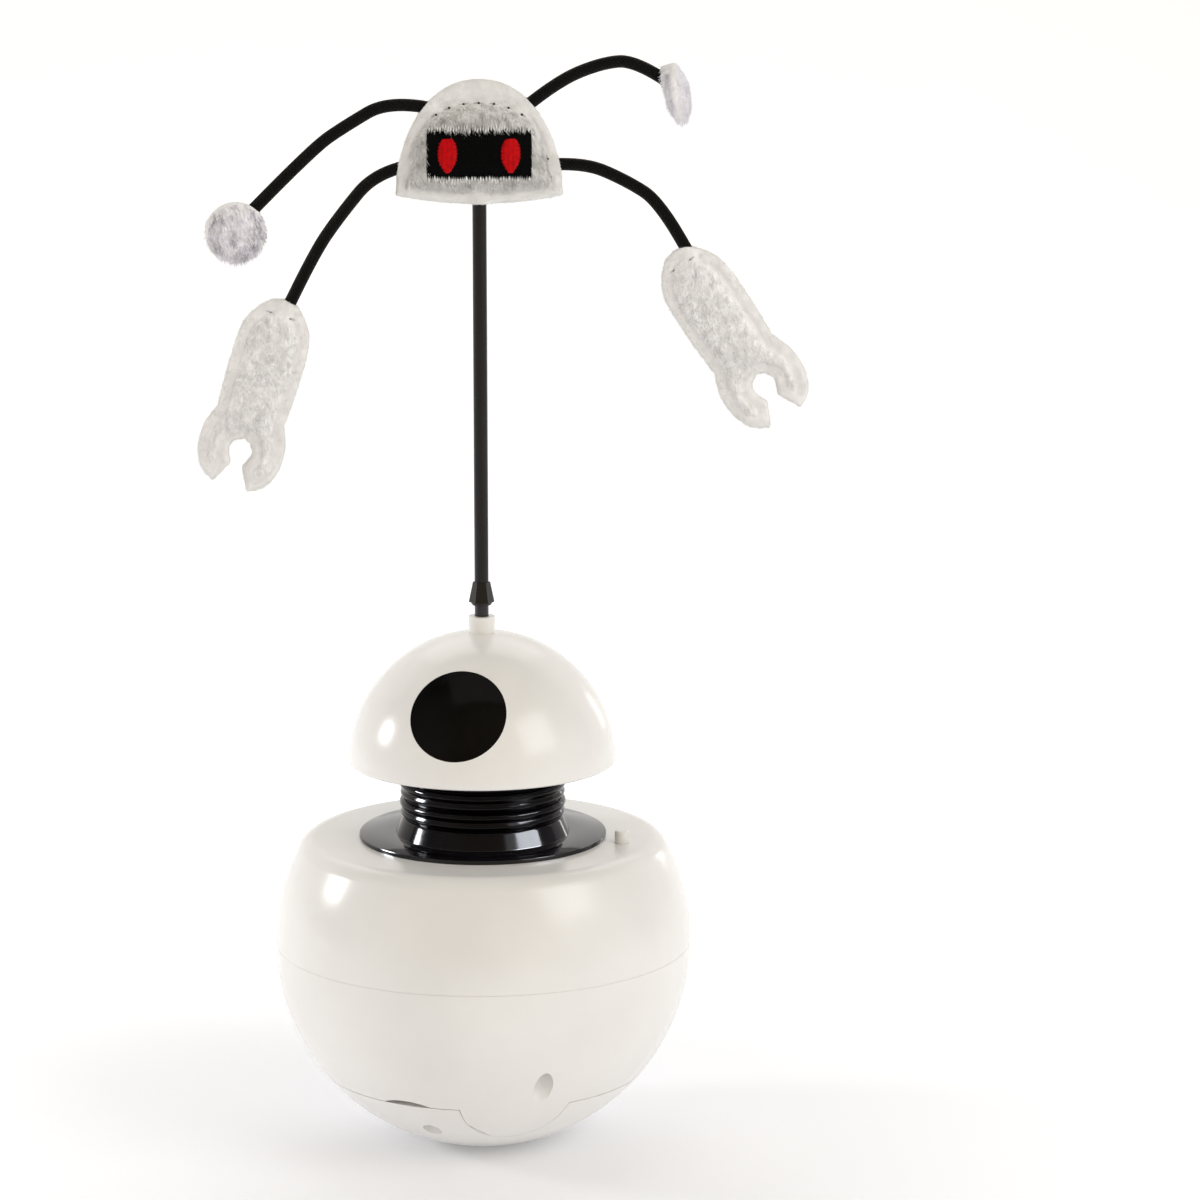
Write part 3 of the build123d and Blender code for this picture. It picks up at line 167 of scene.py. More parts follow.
# ---- Nodes and materials ----
def add(tree, kind, inputs=None, **settings):
    """Adds a node with its settings; an input is a value, or a socket to link from."""
    node = tree.nodes.new(kind)
    for key, value in settings.items():
        setattr(node, key, value)
    for key, value in (inputs or {}).items():
        if isinstance(value, bpy.types.NodeSocket):
            tree.links.new(value, node.inputs[key])
        else:
            node.inputs[key].default_value = value
    return node


def calc(tree, operation, *values):
    """Result of a Math node."""
    return add(tree, "ShaderNodeMath", dict(enumerate(values)), operation=operation).outputs[0]


def vector_calc(tree, operation, *values, **named):
    """Result of a Vector Math node: a number for a length or a dot product, otherwise a vector."""
    node = add(tree, "ShaderNodeVectorMath", {**dict(enumerate(values)), **named}, operation=operation)
    return node.outputs["Value" if operation in ("LENGTH", "DOT_PRODUCT") else "Vector"]


def combined(tree, **axes):
    """Vector made of numbers."""
    return add(tree, "ShaderNodeCombineXYZ", axes).outputs[0]


def separated(tree, vector):
    """The numbers X, Y and Z of a vector."""
    return add(tree, "ShaderNodeSeparateXYZ", {"Vector": vector}).outputs


def ranged(tree, value, low, high, start=0.0, end=1.0):
    """Number that goes from low to high while the value goes from start to end."""
    inputs = {"Value": value, "From Min": start, "From Max": end, "To Min": low, "To Max": high}
    return add(tree, "ShaderNodeMapRange", inputs).outputs["Result"]


def mixed(tree, share, first, second, blend="MIX"):
    """Mix of two colours; 6, 7 and 2 are the node's colour sockets."""
    inputs = {0: share, 6: first, 7: second}
    return add(tree, "ShaderNodeMix", inputs, data_type="RGBA", blend_type=blend).outputs[2]


def between(tree, value, positions, colours):
    """Ramp between two colours."""
    ramp = add(tree, "ShaderNodeValToRGB", {"Fac": value})
    for element, position, colour in zip(ramp.color_ramp.elements, positions, colours):
        element.position, element.color = position, colour
    return ramp.outputs["Color"]


def stretched(tree, place, scale):
    """Coordinates that draw a texture out along the axes with a small scale."""
    return add(tree, "ShaderNodeMapping", {"Vector": place, "Scale": scale}).outputs["Vector"]


def per_mm(size):
    """Texture scale that makes one feature of that size in mm."""
    return 1.0 / (size * MM)


def shade_of(colour, factor):
    """A colour made lighter or darker."""
    return tuple(min(1.0, c * factor) for c in colour[:3]) + (1.0,)


def rgba(colour):
    """A setting's colour with its alpha."""
    return tuple(colour) + (1.0,)


class Surface:
    """Material under construction: one Principled shader, its tree and the object's coordinates."""

    def __init__(self, name, **plain):
        self.material = bpy.data.materials.new(name)
        self.material.use_nodes = True
        self.tree = self.material.node_tree
        self.tree.nodes.clear()
        self.shader = add(self.tree, "ShaderNodeBsdfPrincipled")
        for key, value in plain.items():
            self.shader.inputs[key.replace("_", " ")].default_value = value
        add(self.tree, "ShaderNodeOutputMaterial", {"Surface": self.shader.outputs["BSDF"]})
        self.place = add(self.tree, "ShaderNodeTexCoord").outputs["Object"]

    def linked(self, **sockets):
        """Links sockets to the shader's inputs of these names and returns the material."""
        for key, socket in sockets.items():
            self.tree.links.new(socket, self.shader.inputs[key.replace("_", " ")])
        return self.material

    def noise(self, size, detail, place=None, **more):
        """Noise with patches of that size in mm."""
        inputs = {"Vector": place or self.place, "Scale": per_mm(size), "Detail": detail, **more}
        return add(self.tree, "ShaderNodeTexNoise", inputs).outputs["Fac"]

    def mottled(self, size, first, second, detail=3.0, contrast=(0.3, 0.7), place=None):
        """Colour that drifts between two tones over patches of that size in mm."""
        return between(self.tree, self.noise(size, detail, place), contrast, (first, second))

    def drifting(self, size, low, high, detail=2.0, place=None):
        """Number that drifts between two values over patches of that size in mm."""
        return ranged(self.tree, self.noise(size, detail, place), low, high, 0.3, 0.7)

    def embossed(self, height, depth, strength=1.0, under=None):
        """Normal of a relief that is depth mm high, over the normal under it."""
        inputs = {"Height": height, "Distance": depth * MM, "Strength": strength}
        if under is not None:
            inputs["Normal"] = under
        return add(self.tree, "ShaderNodeBump", inputs).outputs["Normal"]

    def varied(self, tones, gloss, relief=None):
        """Mottled colour from tones (size, dark, light), drifting roughness from gloss (size, low, high), and a
        relief from (height, depth, strength)."""
        self.linked(Base_Color=self.mottled(*tones), Roughness=self.drifting(*gloss))
        if relief:
            self.linked(Normal=self.embossed(*relief))
        return self.material


def glossy_abs(name, colour, peel, roughness=0.22):
    """ABS moulded in a polished tool: a wet gloss with a very faint orange peel, colour a little cloudy inside."""
    it = Surface(name, IOR=1.54)
    return it.varied(
        (22.0, shade_of(colour, 0.97), shade_of(colour, 1.02)), (9.0, roughness - 0.02, roughness + 0.02),
        (it.noise(peel, 1.0), 0.006, 0.5),
    )


def neck_plastic(name, colour, peel):
    """Black ABS from a split mould: mirror gloss, with the fine upright witness line of the split on both sides."""
    split, line_half, line_top, flange_top = radians(-28.5), 0.09 * MM, 78.0 * MM, 68.3 * MM
    # The reflections carry a painted bluish tint, and the flange below flange_top is given stronger reflections than
    # the ribs above it: painted reflection.
    it = Surface(name, IOR=1.54, Specular_Tint=(0.93, 0.94, 1.0, 1.0))
    tree, place = it.tree, it.place
    high = separated(tree, place)["Z"]
    across = vector_calc(tree, "DOT_PRODUCT", place, (cos(split), sin(split), 0.0))
    line = calc(tree, "COMPARE", across, 0.0, line_half)
    ridge = calc(tree, "MULTIPLY", line, calc(tree, "LESS_THAN", high, line_top))
    it.linked(Specular_IOR_Level=ranged(tree, calc(tree, "LESS_THAN", high, flange_top), 0.15, 0.42))
    peel_normal = it.embossed(it.noise(peel, 1.0), 0.008, 0.5)
    return it.varied(
        (15.0, shade_of(colour, 0.8), shade_of(colour, 1.6)), (6.0, 0.07, 0.13), (ridge, 0.06, 1.0, peel_normal)
    )


def smoked_acrylic(name):
    """Polished smoked acrylic: black, flush and like wet glass, with fine wiping marks."""
    it = Surface(name, IOR=1.49, Specular_IOR_Level=0.1)
    wiping = it.noise(1.2, 4.0)
    return it.varied((7.0, linear("#040303"), linear("#0B0908")), (2.5, 0.12, 0.2, 6.0), (wiping, 0.002, 0.4))


def extruded_rod(name):
    """Black nylon rod, drawn lengthwise: satin, with fine streaks along its length."""
    it = Surface(name, IOR=1.53, Specular_IOR_Level=0.3)
    it.place = stretched(it.tree, it.place, (1.0, 1.0, 0.03))
    streaks = it.noise(0.3, 3.0)
    return it.varied((0.7, linear("#060505"), linear("#100F0E")), (0.5, 0.28, 0.42), (streaks, 0.02, 0.6))


def moulded(name, colour, roughness=0.35, grain=0.35, relief=0.01, ior=1.5):
    """Plain injection-moulded plastic from an unpolished tool: even colour under a fine spark-eroded grain."""
    it = Surface(name, IOR=ior)
    spark = add(it.tree, "ShaderNodeTexVoronoi", {"Vector": it.place, "Scale": per_mm(grain)}).outputs["Distance"]
    return it.varied(
        (8.0, shade_of(colour, 0.92), shade_of(colour, 1.06)), (4.0, roughness - 0.05, roughness + 0.06),
        (spark, relief, 0.6),
    )


def metal(name, colour, roughness=0.3, grit=0.25, stretch=(1.0, 1.0, 1.0), relief=0.004):
    """Bare metal: brushed, turned or plated marks of that grit, with slightly tarnished patches."""
    it = Surface(name, Metallic=1.0)
    marks = stretched(it.tree, it.place, stretch)
    return it.linked(
        Base_Color=it.mottled(3.0, shade_of(colour, 0.82), shade_of(colour, 1.05)),
        Roughness=it.drifting(grit * 2, roughness - 0.08, roughness + 0.1, place=marks),
        Normal=it.embossed(it.noise(grit, 2.0, marks), relief, 0.7),
    )


def solder_mask(name):
    """Glass-fibre laminate under green solder mask: glossy, with the cloth's weave just showing through."""
    it = Surface(name, IOR=1.52, Coat_Weight=0.3, Coat_Roughness=0.15)
    inputs = {"Vector": it.place, "Scale": per_mm(2.5), "Distortion": 0.4}
    weave = add(it.tree, "ShaderNodeTexWave", inputs, wave_type="BANDS").outputs["Fac"]
    return it.linked(
        Base_Color=between(it.tree, weave, (0.0, 1.0), (linear("#0F4A2A"), linear("#155A34"))),
        Roughness=it.drifting(3.0, 0.25, 0.4), Normal=it.embossed(weave, 0.01, 0.5),
    )


def cell_film(name):
    """Printed film shrunk over a dry cell: glossy blue over the middle, bare bright steel at both ends."""
    film_half = 21.3 * MM
    it = Surface(name, IOR=1.5, Coat_Weight=0.4, Coat_Roughness=0.08)
    out = calc(it.tree, "ABSOLUTE", separated(it.tree, it.place)["X"])
    bare = calc(it.tree, "GREATER_THAN", out, film_half)
    return it.linked(
        Base_Color=mixed(it.tree, bare, linear("#1D3C78"), linear("#B9B7B2")), Metallic=bare,
        Roughness=it.drifting(3.0, 0.18, 0.3),
        Normal=it.embossed(it.noise(1.5, 2.0), 0.02, 0.4),
    )


def moulded_lens(name):
    """Clear moulded lens: glass-smooth, hardly any colour."""
    it = Surface(name, IOR=1.49, Transmission_Weight=0.9)
    return it.varied((2.0, linear("#E8EEF2"), linear("#F5F8FA")), (1.0, 0.02, 0.06))


def shorn_plush(name, felt, pile, shade):
    """Polyester plush: shorn smooth and felt-like in the margin, parted strands with grey depths inside the seam."""
    it = Surface(name, IOR=1.45, Roughness=0.95, Sheen_Weight=0.25, Sheen_Roughness=0.5, Specular_IOR_Level=0.15)
    zone = add(it.tree, "ShaderNodeAttribute", attribute_name="pile_zone").outputs["Fac"]
    margin = it.mottled(2.2, shade_of(felt, 0.9), shade_of(felt, 1.04), 6.0)
    inside = it.mottled(1.6, shade, pile, 8.0, (0.35, 0.62))
    nap = it.noise(0.5, 8.0, Roughness=0.7)
    return it.linked(Base_Color=mixed(it.tree, zone, margin, inside), Normal=it.embossed(nap, 0.28, 0.9))


def pile_fibre(name, light, shade, patch):
    """Fine polyester fibres, laid in tufts: matt with a soft sheen, lighter and greyer tufts side by side."""
    it = Surface(name, IOR=1.45, Roughness=0.85, Sheen_Weight=0.3, Sheen_Roughness=0.4, Specular_IOR_Level=0.2)
    streaks = stretched(it.tree, it.place, (1.0, 1.0, 0.4))
    tufts = it.mottled(patch, shade, light, 5.0, (0.33, 0.55), streaks)
    strand = vector_calc(it.tree, "SNAP", it.place, (0.25 * MM,) * 3)
    chance = add(it.tree, "ShaderNodeTexWhiteNoise", {"Vector": strand}).outputs["Value"]
    return it.linked(Base_Color=mixed(it.tree, 1.0, tufts, ranged(it.tree, chance, 0.86, 1.06), "MULTIPLY"))


def satin_thread(name, colour, axis, gloss):
    """Rayon embroidery thread in satin stitch: silky, with the fine twist of the plies across each stitch."""
    ply = 0.5
    it = Surface(name, IOR=1.5, Specular_IOR_Level=gloss)
    inputs = {"Vector": it.place, "Scale": per_mm(ply) / 6.28, "Distortion": 1.5}
    twist = add(it.tree, "ShaderNodeTexWave", inputs, wave_type="BANDS", bands_direction=axis).outputs["Fac"]
    return it.varied(
        (0.9, shade_of(colour, 0.72), shade_of(colour, 1.15), 4.0), (0.6, 0.32, 0.5), (twist, 0.05, 0.7)
    )


def woven_sleeve(name, colour, strand):
    """Polyester yarn woven tightly over the arm's wire: black, matt, with small crossing ribs whose tops are painted
    lighter as a highlight.
    """
    it = Surface(name, IOR=1.5, Specular_IOR_Level=0.1)
    tree = it.tree
    way = separated(tree, add(tree, "ShaderNodeUVMap", uv_map="sleeve").outputs["UV"])
    ribs = []
    for crossings in (10.0, -10.0):
        around = calc(tree, "MULTIPLY", way["X"], crossings)
        turns = calc(tree, "MULTIPLY_ADD", way["Y"], 1 / strand, around)
        ribs.append(calc(tree, "SINE", calc(tree, "MULTIPLY", turns, 2 * pi)))
    top = calc(tree, "MAXIMUM", *ribs)
    return it.linked(
        # The yarn colour rises from 0.45 to 1.9 times the sleeve colour towards each rib's top: a painted highlight.
        Base_Color=between(tree, top, (0.0, 1.0), (shade_of(colour, 0.45), shade_of(colour, 1.9))),
        Roughness=it.drifting(1.0, 0.45, 0.65), Normal=it.embossed(top, 0.12, 0.8),
    )


# ---- Mesh helpers, all in mm until the object is made ----
def stand(name, data):
    """New object in the scene."""
    thing = bpy.data.objects.new(name, data)
    bpy.context.scene.collection.objects.link(thing)
    return thing


def piece_from(name, points, faces, material):
    """New smooth object at the origin, from points in mm and faces."""
    mesh = bpy.data.meshes.new(name)
    mesh.from_pydata([tuple(c * MM for c in p) for p in points], [], faces)
    mesh.materials.append(material)
    mesh.shade_smooth()
    return stand(name, mesh)


def surface_tree(piece):
    """The piece's faces, ready for rays."""
    return BVHTree.FromPolygons([v.co for v in piece.data.vertices], [p.vertices for p in piece.data.polygons])


def plain_mesh(piece):
    """The evaluated piece as a plain mesh; its modifiers are dropped."""
    depsgraph = bpy.context.evaluated_depsgraph_get()
    mesh = bpy.data.meshes.new_from_object(piece.evaluated_get(depsgraph), depsgraph=depsgraph)
    piece.modifiers.clear()
    old, piece.data = piece.data, mesh
    mesh.name = piece.name
    if old.users == 0:
        bpy.data.meshes.remove(old)
    return piece


def smooth_line(points, steps):
    """Points on a smooth open line through the given ones (Catmull-Rom)."""
    ends = [2 * points[0] - points[1]] + list(points) + [2 * points[-1] - points[-2]]
    line = []
    for a, b, c, d in zip(ends, ends[1:], ends[2:], ends[3:]):
        for step in range(steps):
            t = step / steps
            low = 2 * b + (c - a) * t + (2 * a - 5 * b + 4 * c - d) * t * t
            line.append(0.5 * (low + (3 * b - a - 3 * c + d) * t**3))
    return line + [points[-1]]


def neck_section():
    """Closed half section (radius, height) of the neck: spigot, flange, straight foot, double ribs, hollow inside."""
    low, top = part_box("neck_collar")[0].z / MM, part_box("neck_collar")[1].z / MM
    deck, foot = top - 15.5, top - 14.6
    rib = ((0.0, 16.9), (0.35, 17.42), (0.8, 17.72), (1.2, 17.75), (1.65, 17.58), (1.95, 17.47), (2.3, 17.66),
           (2.8, 17.93), (3.15, 17.95), (3.6, 17.76), (3.95, 17.3), (4.15, 16.9))
    outer = [Vector((17.45, foot + 3.15)), Vector((17.2, foot + 3.5)), Vector((16.95, foot + 3.65))]
    for start in (foot + 3.75, foot + 7.9):
        outer += [Vector((r, start + z)) for z, r in rib[:-1]]
    collar = ((16.9, foot + 12.05), (17.5, foot + 12.6), (17.5, top - 0.4), (17.0, top))
    outer += [Vector(p) for p in collar]
    flange = [(26.7, deck), (26.7, foot - 0.3), (26.6, foot - 0.09), (26.4, foot), (18.88, foot), (18.8, foot + 0.12)]
    hollow = [
        (14.5, top), (14.5, top - 3.6), (13.4, top - 3.6), (13.4, top - 4.8), (14.5, top - 4.8), (14.5, foot),
        (6.2, foot), (6.2, deck + 6.0), (4.51, deck + 6.0), (4.51, deck), (3.4, deck), (3.4, deck - 0.8),
        (5.5, deck - 0.8), (5.5, deck), (10.6, deck), (10.6, low), (12.0, low), (12.0, deck),
    ]
    return flange + [tuple(p) for p in smooth_line(outer, 4)] + hollow


def turned(name, section, material, sides=160):
    """A body of revolution about the upright axis, from its closed half section."""
    count = len(section)
    turns = [2 * pi * k / sides for k in range(sides)]
    points = [(r * cos(turn), r * sin(turn), z) for turn in turns for r, z in section]
    faces = []
    for k in range(sides):
        a, b = k * count, (k + 1) % sides * count
        faces += [(a + i, b + i, b + (i + 1) % count, a + (i + 1) % count) for i in range(count)]
    piece = piece_from(name, points, faces, material)
    fix_normals(piece)
    piece.data.set_sharp_from_angle(angle=radians(35))
    return piece


def closed_outline(runs, spacing):
    """One closed outline from runs that share their ends, resampled to about that spacing; corners stay."""
    outline = []
    for run in runs:
        run = np.array(run, float)
        lengths = np.r_[0, np.cumsum(np.hypot(*np.diff(run, axis=0).T))]
        count = max(1, round(lengths[-1] / spacing))
        at = np.linspace(0, lengths[-1], count + 1)[:-1]
        outline += list(zip(np.interp(at, lengths, run[:, 0]), np.interp(at, lengths, run[:, 1])))
    outline = np.array(outline)
    area = np.sum(outline[:, 0] * np.roll(outline[:, 1], -1) - np.roll(outline[:, 0], -1) * outline[:, 1])
    return outline if area > 0 else outline[::-1]


def inside_distance(points, outline):
    """For each point its distance to the outline (negative outside) and the run along the outline there."""
    a, b = outline, np.roll(outline, -1, axis=0)
    ab = b - a
    size = np.hypot(*ab.T)
    start = np.r_[0, np.cumsum(size)[:-1]]
    t = np.clip(((points[:, None] - a) * ab).sum(-1) / (size**2), 0, 1)
    gap = np.hypot(*np.moveaxis(points[:, None] - (a + t[..., None] * ab), -1, 0))
    best = gap.argmin(1)
    rows = np.arange(len(points))
    x, y = points[:, None, 0], points[:, None, 1]
    meets = ab[:, 0] * (y - a[:, 1]) / np.where(ab[:, 1] == 0, 1e-9, ab[:, 1]) + a[:, 0]
    crosses = ((a[:, 1] > y) != (b[:, 1] > y)) & (x < meets)
    inside = crosses.sum(1) % 2 == 1
    return np.where(inside, 1, -1) * gap[rows, best], (start + t * size)[rows, best]


def offset_ring(outline, inset):
    """The outline moved inwards, by one distance or one for each point, without the parts that would cross."""
    inset = np.broadcast_to(inset, len(outline))
    way = np.roll(outline, -1, axis=0) - np.roll(outline, 1, axis=0)
    normal = np.stack([-way[:, 1], way[:, 0]], 1) / np.hypot(*way.T)[:, None]
    ring = outline + normal * inset[:, None]
    return ring[inside_distance(ring, outline)[0] > 0.95 * inset]


class Pad:
    """A stuffed pad with a shorn margin: two panels sewn along a seam inside their common edge."""
    GROOVE_HALF = 0.55          # from the seam's middle to the rows of points beside it
    GROOVE_WIDTH = 0.62
    POINT_GAP = 0.13            # least distance between the points of two rows
    ROW_HEIGHT = 0.866          # height of a triangle of the inner grid, in grid spacings
    RIM_GAP = 0.7               # least distance of the grid from the outline, in spacings
    GRID_GAP = 0.62             # and from the rows of points along the outline
    WIRE_REACH = 0.5            # a wire that lies no further than this over the crown is covered
    WIRE_CLEARANCE = 0.4        # room between a wire and the cloth over it
    WIRE_LIFT = 0.3             # how far a wire may raise the cloth over the crown
    BLOWN_SHARE = 0.65          # how much of the final shape the stuffing decides
    OUTSIDE = 20                # a distance well outside every pad
    FRAMES = 20                 # frames that the stuffing takes
    CLOTH_SCALE = 20.0          # the cloth is simulated this many times as large

    def __init__(self, outline, thickness, seam, edge, place, spacing=0.95, pitch=2.9, groove=0.5, wires=()):
        self.outline, self.place, self.pitch = outline, place, pitch
        self.seams = np.array(np.broadcast_to(seam, len(outline)), float)
        self.crown, self.edge, self.groove = thickness / 2, edge, groove
        home = place.inverted()
        self.wires = []
        for line, radius in wires:
            near = [tuple((home @ p) / MM) for p in line]
            near = np.array([p for p in near if abs(p[1]) < self.crown + self.WIRE_REACH])
            if len(near):
                self.wires.append((near, radius + self.WIRE_CLEARANCE))
        beside = self.GROOVE_HALF
        insets = (0.12 * edge, 0.4 * edge, edge, self.seams - beside, self.seams, self.seams + beside)
        kept = [outline]
        for ring in [offset_ring(outline, inset) for inset in insets]:
            taken = np.concatenate(kept)
            far = [np.hypot(*(taken - p).T).min() > self.POINT_GAP for p in ring]
            kept.append(ring[np.array(far, bool)])
        low, high = outline.min(0), outline.max(0)
        rows = np.arange(low[1], high[1], spacing * self.ROW_HEIGHT)
        across = np.arange(low[0], high[0], spacing)
        grid = np.array([(x + (i % 2) * spacing / 2, z) for i, z in enumerate(rows) for x in across])
        grid = grid[inside_distance(grid, outline)[0] > self.RIM_GAP * spacing]
        taken = np.concatenate(kept)
        grid = grid[[np.hypot(*(taken - p).T).min() > self.GRID_GAP * spacing for p in grid]]
        flat = np.concatenate([taken, grid])
        count = len(outline)
        edges = [(i, (i + 1) % count) for i in range(count)]
        made = delaunay_2d_cdt([Vector(p) for p in flat], edges, [], 1, 1e-6)
        self.flat = np.array([tuple(p) for p in made[0]])
        self.faces = [tuple(face) for face in made[2]]
        self.depth, self.run = inside_distance(self.flat, outline)
        self.depth = np.maximum(self.depth, 0.0)
        size = np.hypot(*(np.roll(outline, -1, axis=0) - outline).T)
        starts = np.r_[0, np.cumsum(size)[:-1]]
        self.past = self.depth - np.interp(self.run, starts, self.seams, period=size.sum())

    def half(self, depth, past, run, fill):
        """Half thickness at a distance from the edge and past the seam: round edge, flat margin, groove, stuffing."""
        edge = self.edge * np.sqrt(np.clip(1 - (1 - np.clip(depth / self.edge, 0, 1)) ** 2, 0, 1))
        dip = (self.edge - self.groove) * np.exp(-((past / self.GROOVE_WIDTH) ** 2))
        dip = dip * (0.8 + 0.2 * np.cos(2 * pi * run / self.pitch))
        deep = np.clip(past / (2.2 * (self.crown - self.edge) + 0.5), 0, 1)
        rise = (self.crown * fill - self.edge) * np.sqrt(np.clip(1 - (1 - deep) ** 2, 0, 1))
        return edge - dip + np.where(past > 0, np.maximum(rise, 0), 0)

    def wire_gap(self, points, wire):
        """How far points (x, z) lie beside a wire, and the wire's own y there."""
        line = wire[0]
        gaps = np.hypot(points[:, None, 0] - line[:, 0], points[:, None, 1] - line[:, 2])
        near = gaps.argmin(1)
        return gaps[np.arange(len(points)), near], line[near, 1]

    def over_wires(self, points, sides):
        """Lays both panels over the wires inside, clear of each wire as far as the open mouth at the edge."""
        for wire in self.wires:
            gap, middle = self.wire_gap(points[:, (0, 2)], wire)
            wide = 1.5 * wire[1]
            cover = wire[1] * np.sqrt(np.clip(1 - (gap / wide) ** 2, 0, 1))
            for side in (-1, 1):
                rows = (gap < wide) & (sides == side)
                high = np.minimum(side * middle[rows] + cover[rows], self.crown + self.WIRE_LIFT)
                points[rows, 1] = side * np.maximum(side * points[rows, 1], high)
        return points

    def build(self, name, material, puff=0.6):
        """Makes the pad, stuffs it and puts it in its place; puff is how full it is before that."""
        rim = self.depth < 1e-4
        mouth = np.zeros(len(rim), bool)
        for wire in self.wires:
            mouth |= rim & (self.wire_gap(self.flat, wire)[0] < wire[1])
        half = self.half(self.depth, self.past, self.run, puff)
        front, back, points, sides = {}, {}, [], []
        for i, (x, z) in enumerate(self.flat):
            joined = rim[i] and not mouth[i]
            front[i] = back[i] = len(points)
            points.append((x, 0.0 if rim[i] else -half[i], z))
            sides.append(0 if joined else -1)
            if not joined:
                back[i] = len(points)
                points.append((x, 0.0 if rim[i] else half[i], z))
                sides.append(1)
        faces = []
        for a, b, c in self.faces:
            pa, pb, pc = self.flat[a], self.flat[b], self.flat[c]
            if (pb[0] - pa[0]) * (pc[1] - pa[1]) - (pb[1] - pa[1]) * (pc[0] - pa[0]) < 0:
                b, c = c, b
            faces.append((front[a], front[b], front[c]))
            faces.append((back[c], back[b], back[a]))
        count = len(self.outline)
        for i in range(count):
            j = (i + 1) % count
            wall = list(dict.fromkeys((front[i], back[i], back[j], front[j])))
            if len(wall) > 2:
                faces.append(tuple(wall))
        points, sides = np.array(points), np.array(sides)
        depth, past, run = np.zeros((3, len(points)))
        for i in range(len(self.flat)):
            for side in (front, back):
                depth[side[i]], past[side[i]], run[side[i]] = self.depth[i], self.past[i], self.run[i]
        points = self.stuffed(points, faces, past)
        full = self.half(depth, past, run, 1.0)
        inner = past > 0.1
        points = self.fitted(points, full, inner)
        points = self.over_wires(points, sides)
        piece = piece_from(name, points, faces, material)
        fix_normals(piece)
        zone = np.clip((past + 0.1) / 0.7, 0, 1)
        for label, values in (("pile_zone", zone), ("edge_depth", depth), ("seam_gap", past)):
            set_values(piece.data, label, values)
        piece.modifiers.new("finer", "SUBSURF").levels = 1
        piece.modifiers["finer"].render_levels = 1
        plain_mesh(piece)
        piece.data.transform(self.place)
        return piece

    def stuffed(self, points, faces, past):
        """Blows the sewn panels up with cloth pressure, twenty times as large, the margin held by its seam."""
        scale = self.CLOTH_SCALE
        mesh = bpy.data.meshes.new("stuffing")
        mesh.from_pydata([tuple(p * MM * scale) for p in points], [], faces)
        cloth = stand("stuffing", mesh)
        held = cloth.vertex_groups.new(name="sewn")
        held.add([int(i) for i in np.flatnonzero(past <= 0.15)], 1.0, "REPLACE")
        modifier = cloth.modifiers.new("cloth", "CLOTH")
        settings = modifier.settings
        settings.vertex_group_mass = "sewn"
        settings.quality = 6
        settings.mass = 0.3
        settings.tension_stiffness = settings.compression_stiffness = 12
        settings.shear_stiffness = 6
        settings.bending_stiffness = 0.6
        settings.use_pressure = True
        settings.uniform_pressure_force = 5.0
        settings.effector_weights.gravity = 0
        modifier.collision_settings.use_collision = False
        modifier.point_cache.frame_start, modifier.point_cache.frame_end = 1, self.FRAMES
        scene = bpy.context.scene
        for frame_number in range(1, self.FRAMES + 1):
            scene.frame_set(frame_number)
        grown = cloth.evaluated_get(bpy.context.evaluated_depsgraph_get()).to_mesh()
        moved = np.empty(len(points) * 3, np.float32)
        grown.vertices.foreach_get("co", moved)
        moved = moved.reshape(-1, 3) / (MM * scale)
        bpy.data.objects.remove(cloth)
        bpy.data.meshes.remove(mesh)
        scene.frame_set(1)
        shift = moved - points
        size = np.linalg.norm(shift, axis=1, keepdims=True)
        return points + shift * np.minimum(1.0, 1.2 * self.crown / np.maximum(size, 1e-9))

    def fitted(self, points, full, inner):
        """Keeps the shape that the stuffing gave, at the pad's real thickness."""
        for side in (-1, 1):
            group = inner & (np.sign(points[:, 1]) == side)
            if group.any():
                top = np.percentile(np.abs(points[group, 1]), 98)
                share = np.clip(full[group] / self.crown, 0, 1)
                blown = self.BLOWN_SHARE * np.abs(points[group, 1]) * self.crown / top
                points[group, 1] = side * (blown + (1 - self.BLOWN_SHARE) * full[group] * share)
        return points

    def seam_points(self, piece, lift, shown=None):
        """The seam on both faces of the finished pad, or the shown part of it, as lines lift mm over the cloth."""
        ground = surface_tree(piece)
        turn = self.place.to_3x3()
        ring = offset_ring(self.outline, self.seams)
        if shown:
            ring = ring[shown(ring[:, 0], ring[:, 1])]
        lines = []
        for side in (-1, 1):
            out = turn @ Vector((0, side, 0))
            starts = [self.place @ (Vector((x, side * self.OUTSIDE, z)) * MM) for x, z in ring]
            hits = [ground.ray_cast(start, -out)[0] for start in starts]
            lines.append([hit + out * lift * MM for hit in hits if hit is not None])
        return lines


# ---- Geometry Nodes ----
def geometry_tree(name, **inputs):
    """Tree with a mesh in and out and inputs of these kinds; returns the tree and the group input."""
    tree = bpy.data.node_groups.new(name, "GeometryNodeTree")
    tree.interface.new_socket("Geometry", in_out="INPUT", socket_type="NodeSocketGeometry")
    for label, kind in inputs.items():
        tree.interface.new_socket(label, in_out="INPUT", socket_type="NodeSocket" + kind)
    tree.interface.new_socket("Geometry", in_out="OUTPUT", socket_type="NodeSocketGeometry")
    return tree, tree.nodes.new("NodeGroupInput").outputs


def finish_tree(tree, material, instances):
    """Ends a tree in instances on points, realised and with their material."""
    row = add(tree, "GeometryNodeInstanceOnPoints", instances).outputs["Instances"]
    real = add(tree, "GeometryNodeRealizeInstances", {"Geometry": row}).outputs["Geometry"]
    skin = add(tree, "GeometryNodeSetMaterial", {"Geometry": real, "Material": material}).outputs["Geometry"]
    smooth = add(tree, "GeometryNodeSetShadeSmooth", {"Geometry": skin}).outputs["Geometry"]
    add(tree, "NodeGroupOutput", {"Geometry": smooth})
    return tree


def grow(name, base, tree, **values):
    """Runs a tree on a mesh and returns the result as a new plain piece."""
    carrier = stand(name, base)
    modifier = carrier.modifiers.new("grow", "NODES")
    modifier.node_group = tree
    for item in tree.interface.items_tree:
        if item.in_out == "INPUT" and item.name in values:
            modifier[item.identifier] = values[item.name]
    return plain_mesh(carrier)


